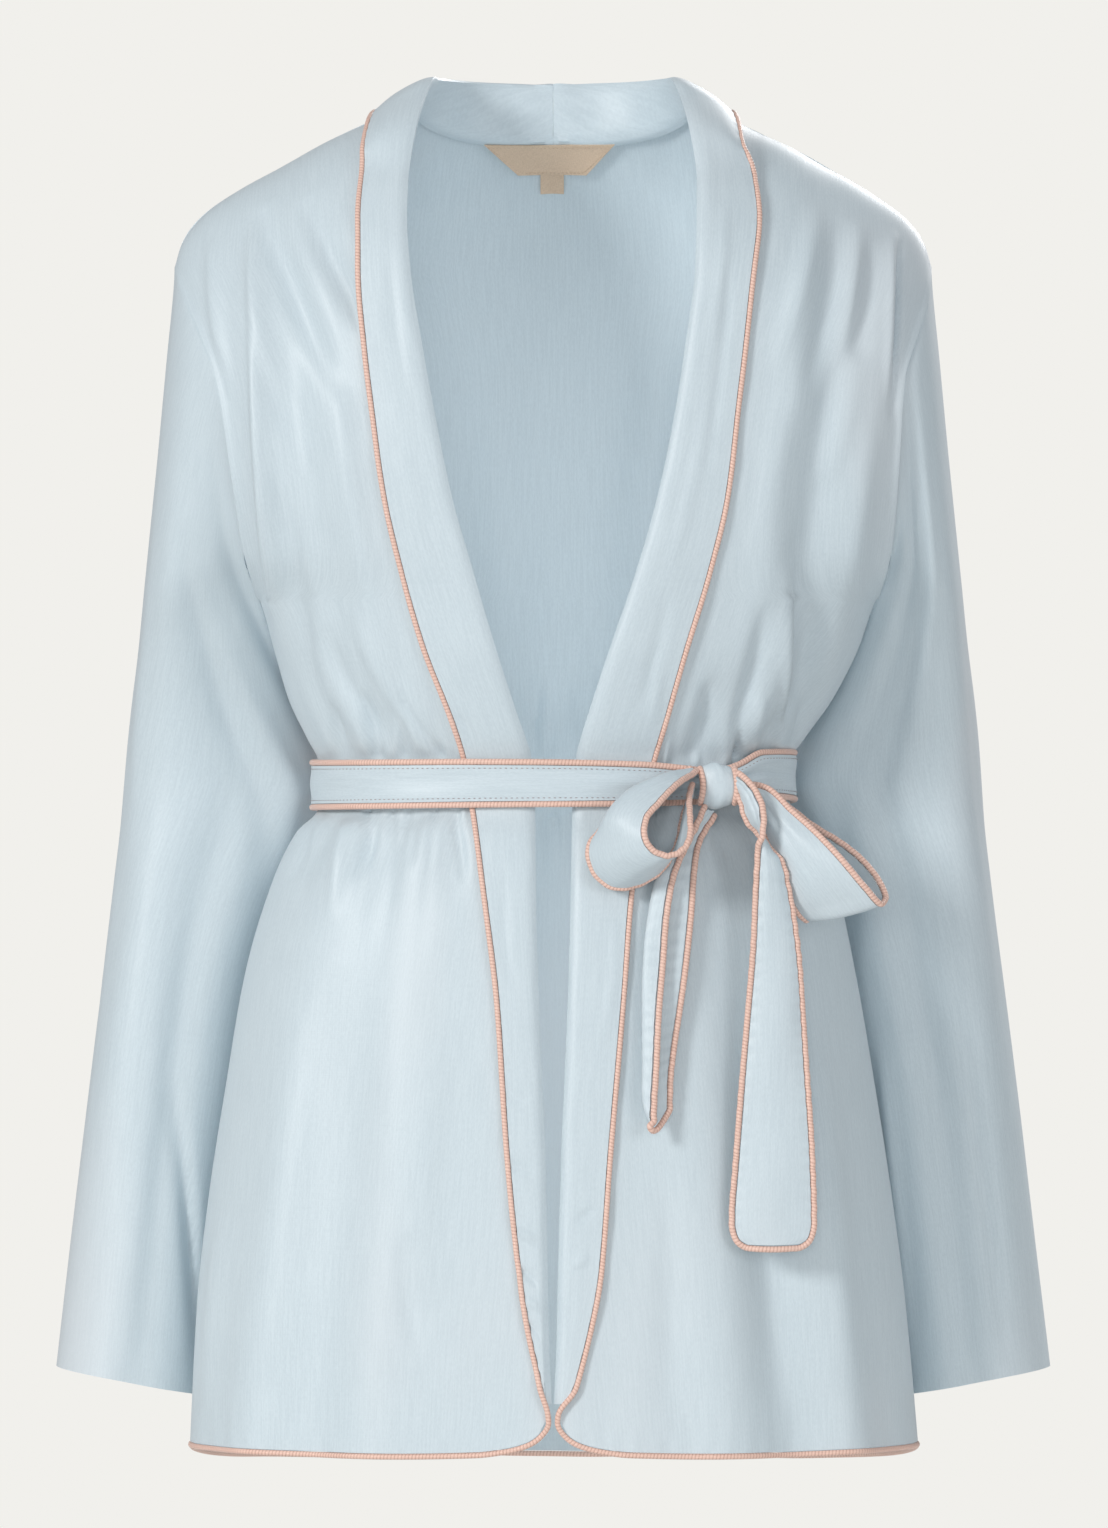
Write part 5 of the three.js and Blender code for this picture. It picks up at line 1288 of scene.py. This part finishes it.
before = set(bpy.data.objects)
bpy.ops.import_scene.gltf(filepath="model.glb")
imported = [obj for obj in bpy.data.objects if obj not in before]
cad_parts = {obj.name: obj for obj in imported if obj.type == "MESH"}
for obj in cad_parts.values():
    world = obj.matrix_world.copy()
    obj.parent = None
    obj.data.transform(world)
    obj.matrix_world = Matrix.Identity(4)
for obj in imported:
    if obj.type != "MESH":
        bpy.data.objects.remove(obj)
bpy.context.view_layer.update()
add_camera()
add_studio()
add_floor()

satin, piping, label = satin_finish(), piping_finish(), label_finish()
thread = thread_finish("blue_thread", (0.50, 0.58, 0.63, 1), (0.38, 0.45, 0.50, 1))
ditch_thread = thread_finish("shadow_thread", (0.42, 0.36, 0.36, 1), (0.30, 0.25, 0.26, 1))
blue_stitches, ditch_stitches = stitch_tree(thread), stitch_tree(ditch_thread)

back_xz = back_places()
back = finish_piece(panel("back_satin", back_xz, BACK, satin), "satin", "back")
hem = cloth_point(back_xz[0][-1], back_xz[1][-1], BACK, 0.8)
above_hem = cloth_point(back_xz[0][-1], back_xz[1][-1] + 3, BACK, 0.8)
back_hem = spline(beside_edge(hem, above_hem, PIPING_RADIUS + 0.3)[::2], 420)
finish_piece(cord("back_hem_cord", back_hem, PIPING_RADIUS, piping), "piping", "back_hem_piping")

lapel_rows, neck_rows = [], []
for side, side_name in SIDE_NAMES.items():
    front_xz = front_places(side)
    front_panel = panel(f"front_{side_name}_satin", front_xz, FRONT, satin, side)
    front = finish_piece(front_panel, "satin", f"front_{side_name}")
    sleeve_wall = sheet_wall(f"sleeve_{side_name}_satin", sleeve_grid(side), CLOTH, satin, tube=True)
    sleeve = finish_piece(sleeve_wall, "satin", f"sleeve_{side_name}")
    collar_points = collar_grid(side)
    collar = finish_piece(sheet_wall(f"collar_{side_name}_satin", collar_points, COLLAR_CLOTH, satin), "satin",
                          f"collar_{side_name}")
    path = edge_piping_path(side, collar_points, front_xz)
    finish_piece(cord(f"edge_{side_name}_cord", path, PIPING_RADIUS, piping), "piping", f"edge_piping_{side_name}")
    normals = grid_normals(collar_points) * side
    lapel_rows.append((collar_points[:, -3] * 0.45 + collar_points[:, -1] * 0.55 + normals[:, -2] * 0.55)[::3])
    neck_rows.append((collar_points[:, 1] + normals[:, 1] * 0.65)[2:60])
finish_piece(stitch_rows("lapel_stitches", lapel_rows, ditch_stitches, 2.9, 1.5, 0.4), "satin")

belt_points = belt_grid()
belt = finish_piece(sheet_wall("belt_satin", belt_points, BELT_CLOTH, satin), "satin", "belt_band")
for place, column, inside in (("upper", 0, 2), ("lower", -1, -3)):
    path = beside_edge(belt_points[:, column], belt_points[:, inside], BELT_PIPING_RADIUS + 0.1)
    finish_piece(cord(f"belt_{place}_cord", path, BELT_PIPING_RADIUS, piping), "piping", f"belt_piping_{place}")
outward = unit(belt_points[:, 6] * np.array([1, 1, 0])) * 1.05
belt_rows = [(belt_points[:, column] + outward)[2:-2] for column in (1, -2)]
belt_stitches = finish_piece(stitch_rows("belt_stitches", belt_rows, ditch_stitches, 2.9, 1.6, 0.45), "satin")
knot = finish_piece(knot_piece(satin), "satin", "belt_knot")
for sign, name in SIDE_NAMES.items():
    path = knot_piping_path(sign)
    finish_piece(cord(f"knot_{name}_cord", path, BELT_PIPING_RADIUS, piping), "piping", f"knot_piping_{name}")

LOOPS = {"right": (BOW_LOOP_RIGHT, 150, 5, (0.034, 0.14)), "left": (BOW_LOOP_LEFT, 170, 8, (0.034, 0.2))}
for name, (stations, count, seed, flat) in LOOPS.items():
    grid = ribbon_grid(stations, count, seed=seed, drag=0.7, pucker=0.1, both_ends=True)
    loop = finish_piece(sheet_wall(f"bow_loop_{name}_satin", grid, BELT_CLOTH, satin), "satin", f"bow_loop_{name}")
    for edge, column, inside in (("near", 0, 2), ("far", -1, -3)):
        path = beside_edge(grid[:, column], grid[:, inside], BELT_PIPING_RADIUS + 0.1)
        finish_piece(cord(f"bow_loop_{name}_{edge}_cord", path, BELT_PIPING_RADIUS, piping), "piping",
                     f"loop_piping_{name}_{edge}")
ENDS = {"right": (BELT_END_RIGHT, 150, 2, (0.024, 0.19)), "left": (BELT_END_LEFT, 190, 11, (0.032, 0.26))}
for name, (stations, count, seed, flat) in ENDS.items():
    grid = ribbon_grid(stations, count, seed=seed, drag=0.6)
    tail = finish_piece(sheet_wall(f"belt_end_{name}_satin", grid, BELT_CLOTH, satin), "satin", f"belt_end_{name}")
    path = end_piping_path(grid)
    finish_piece(cord(f"belt_end_{name}_cord", path, BELT_PIPING_RADIUS, piping), "piping", f"end_piping_{name}")

label_piece = finish_piece(neck_piece("neck_label_tape", NECK_LABEL, label), "label", "neck_label")
tab_piece = finish_piece(neck_piece("size_tab_tape", SIZE_TAB, label), "label", "size_tab")
label_thread = stitch_tree(thread_finish("beige_thread", (0.66, 0.50, 0.37, 1), (0.52, 0.38, 0.28, 1)))
label_stitches = finish_piece(
    stitch_rows("label_stitches", [label_outline(NECK_LABEL, 1.3)], label_thread, 2.2, 1.5, 0.35), "label")
finish_piece(stitch_rows("neck_stitches", neck_rows, blue_stitches, 3.1, 1.8, 0.45), "satin")
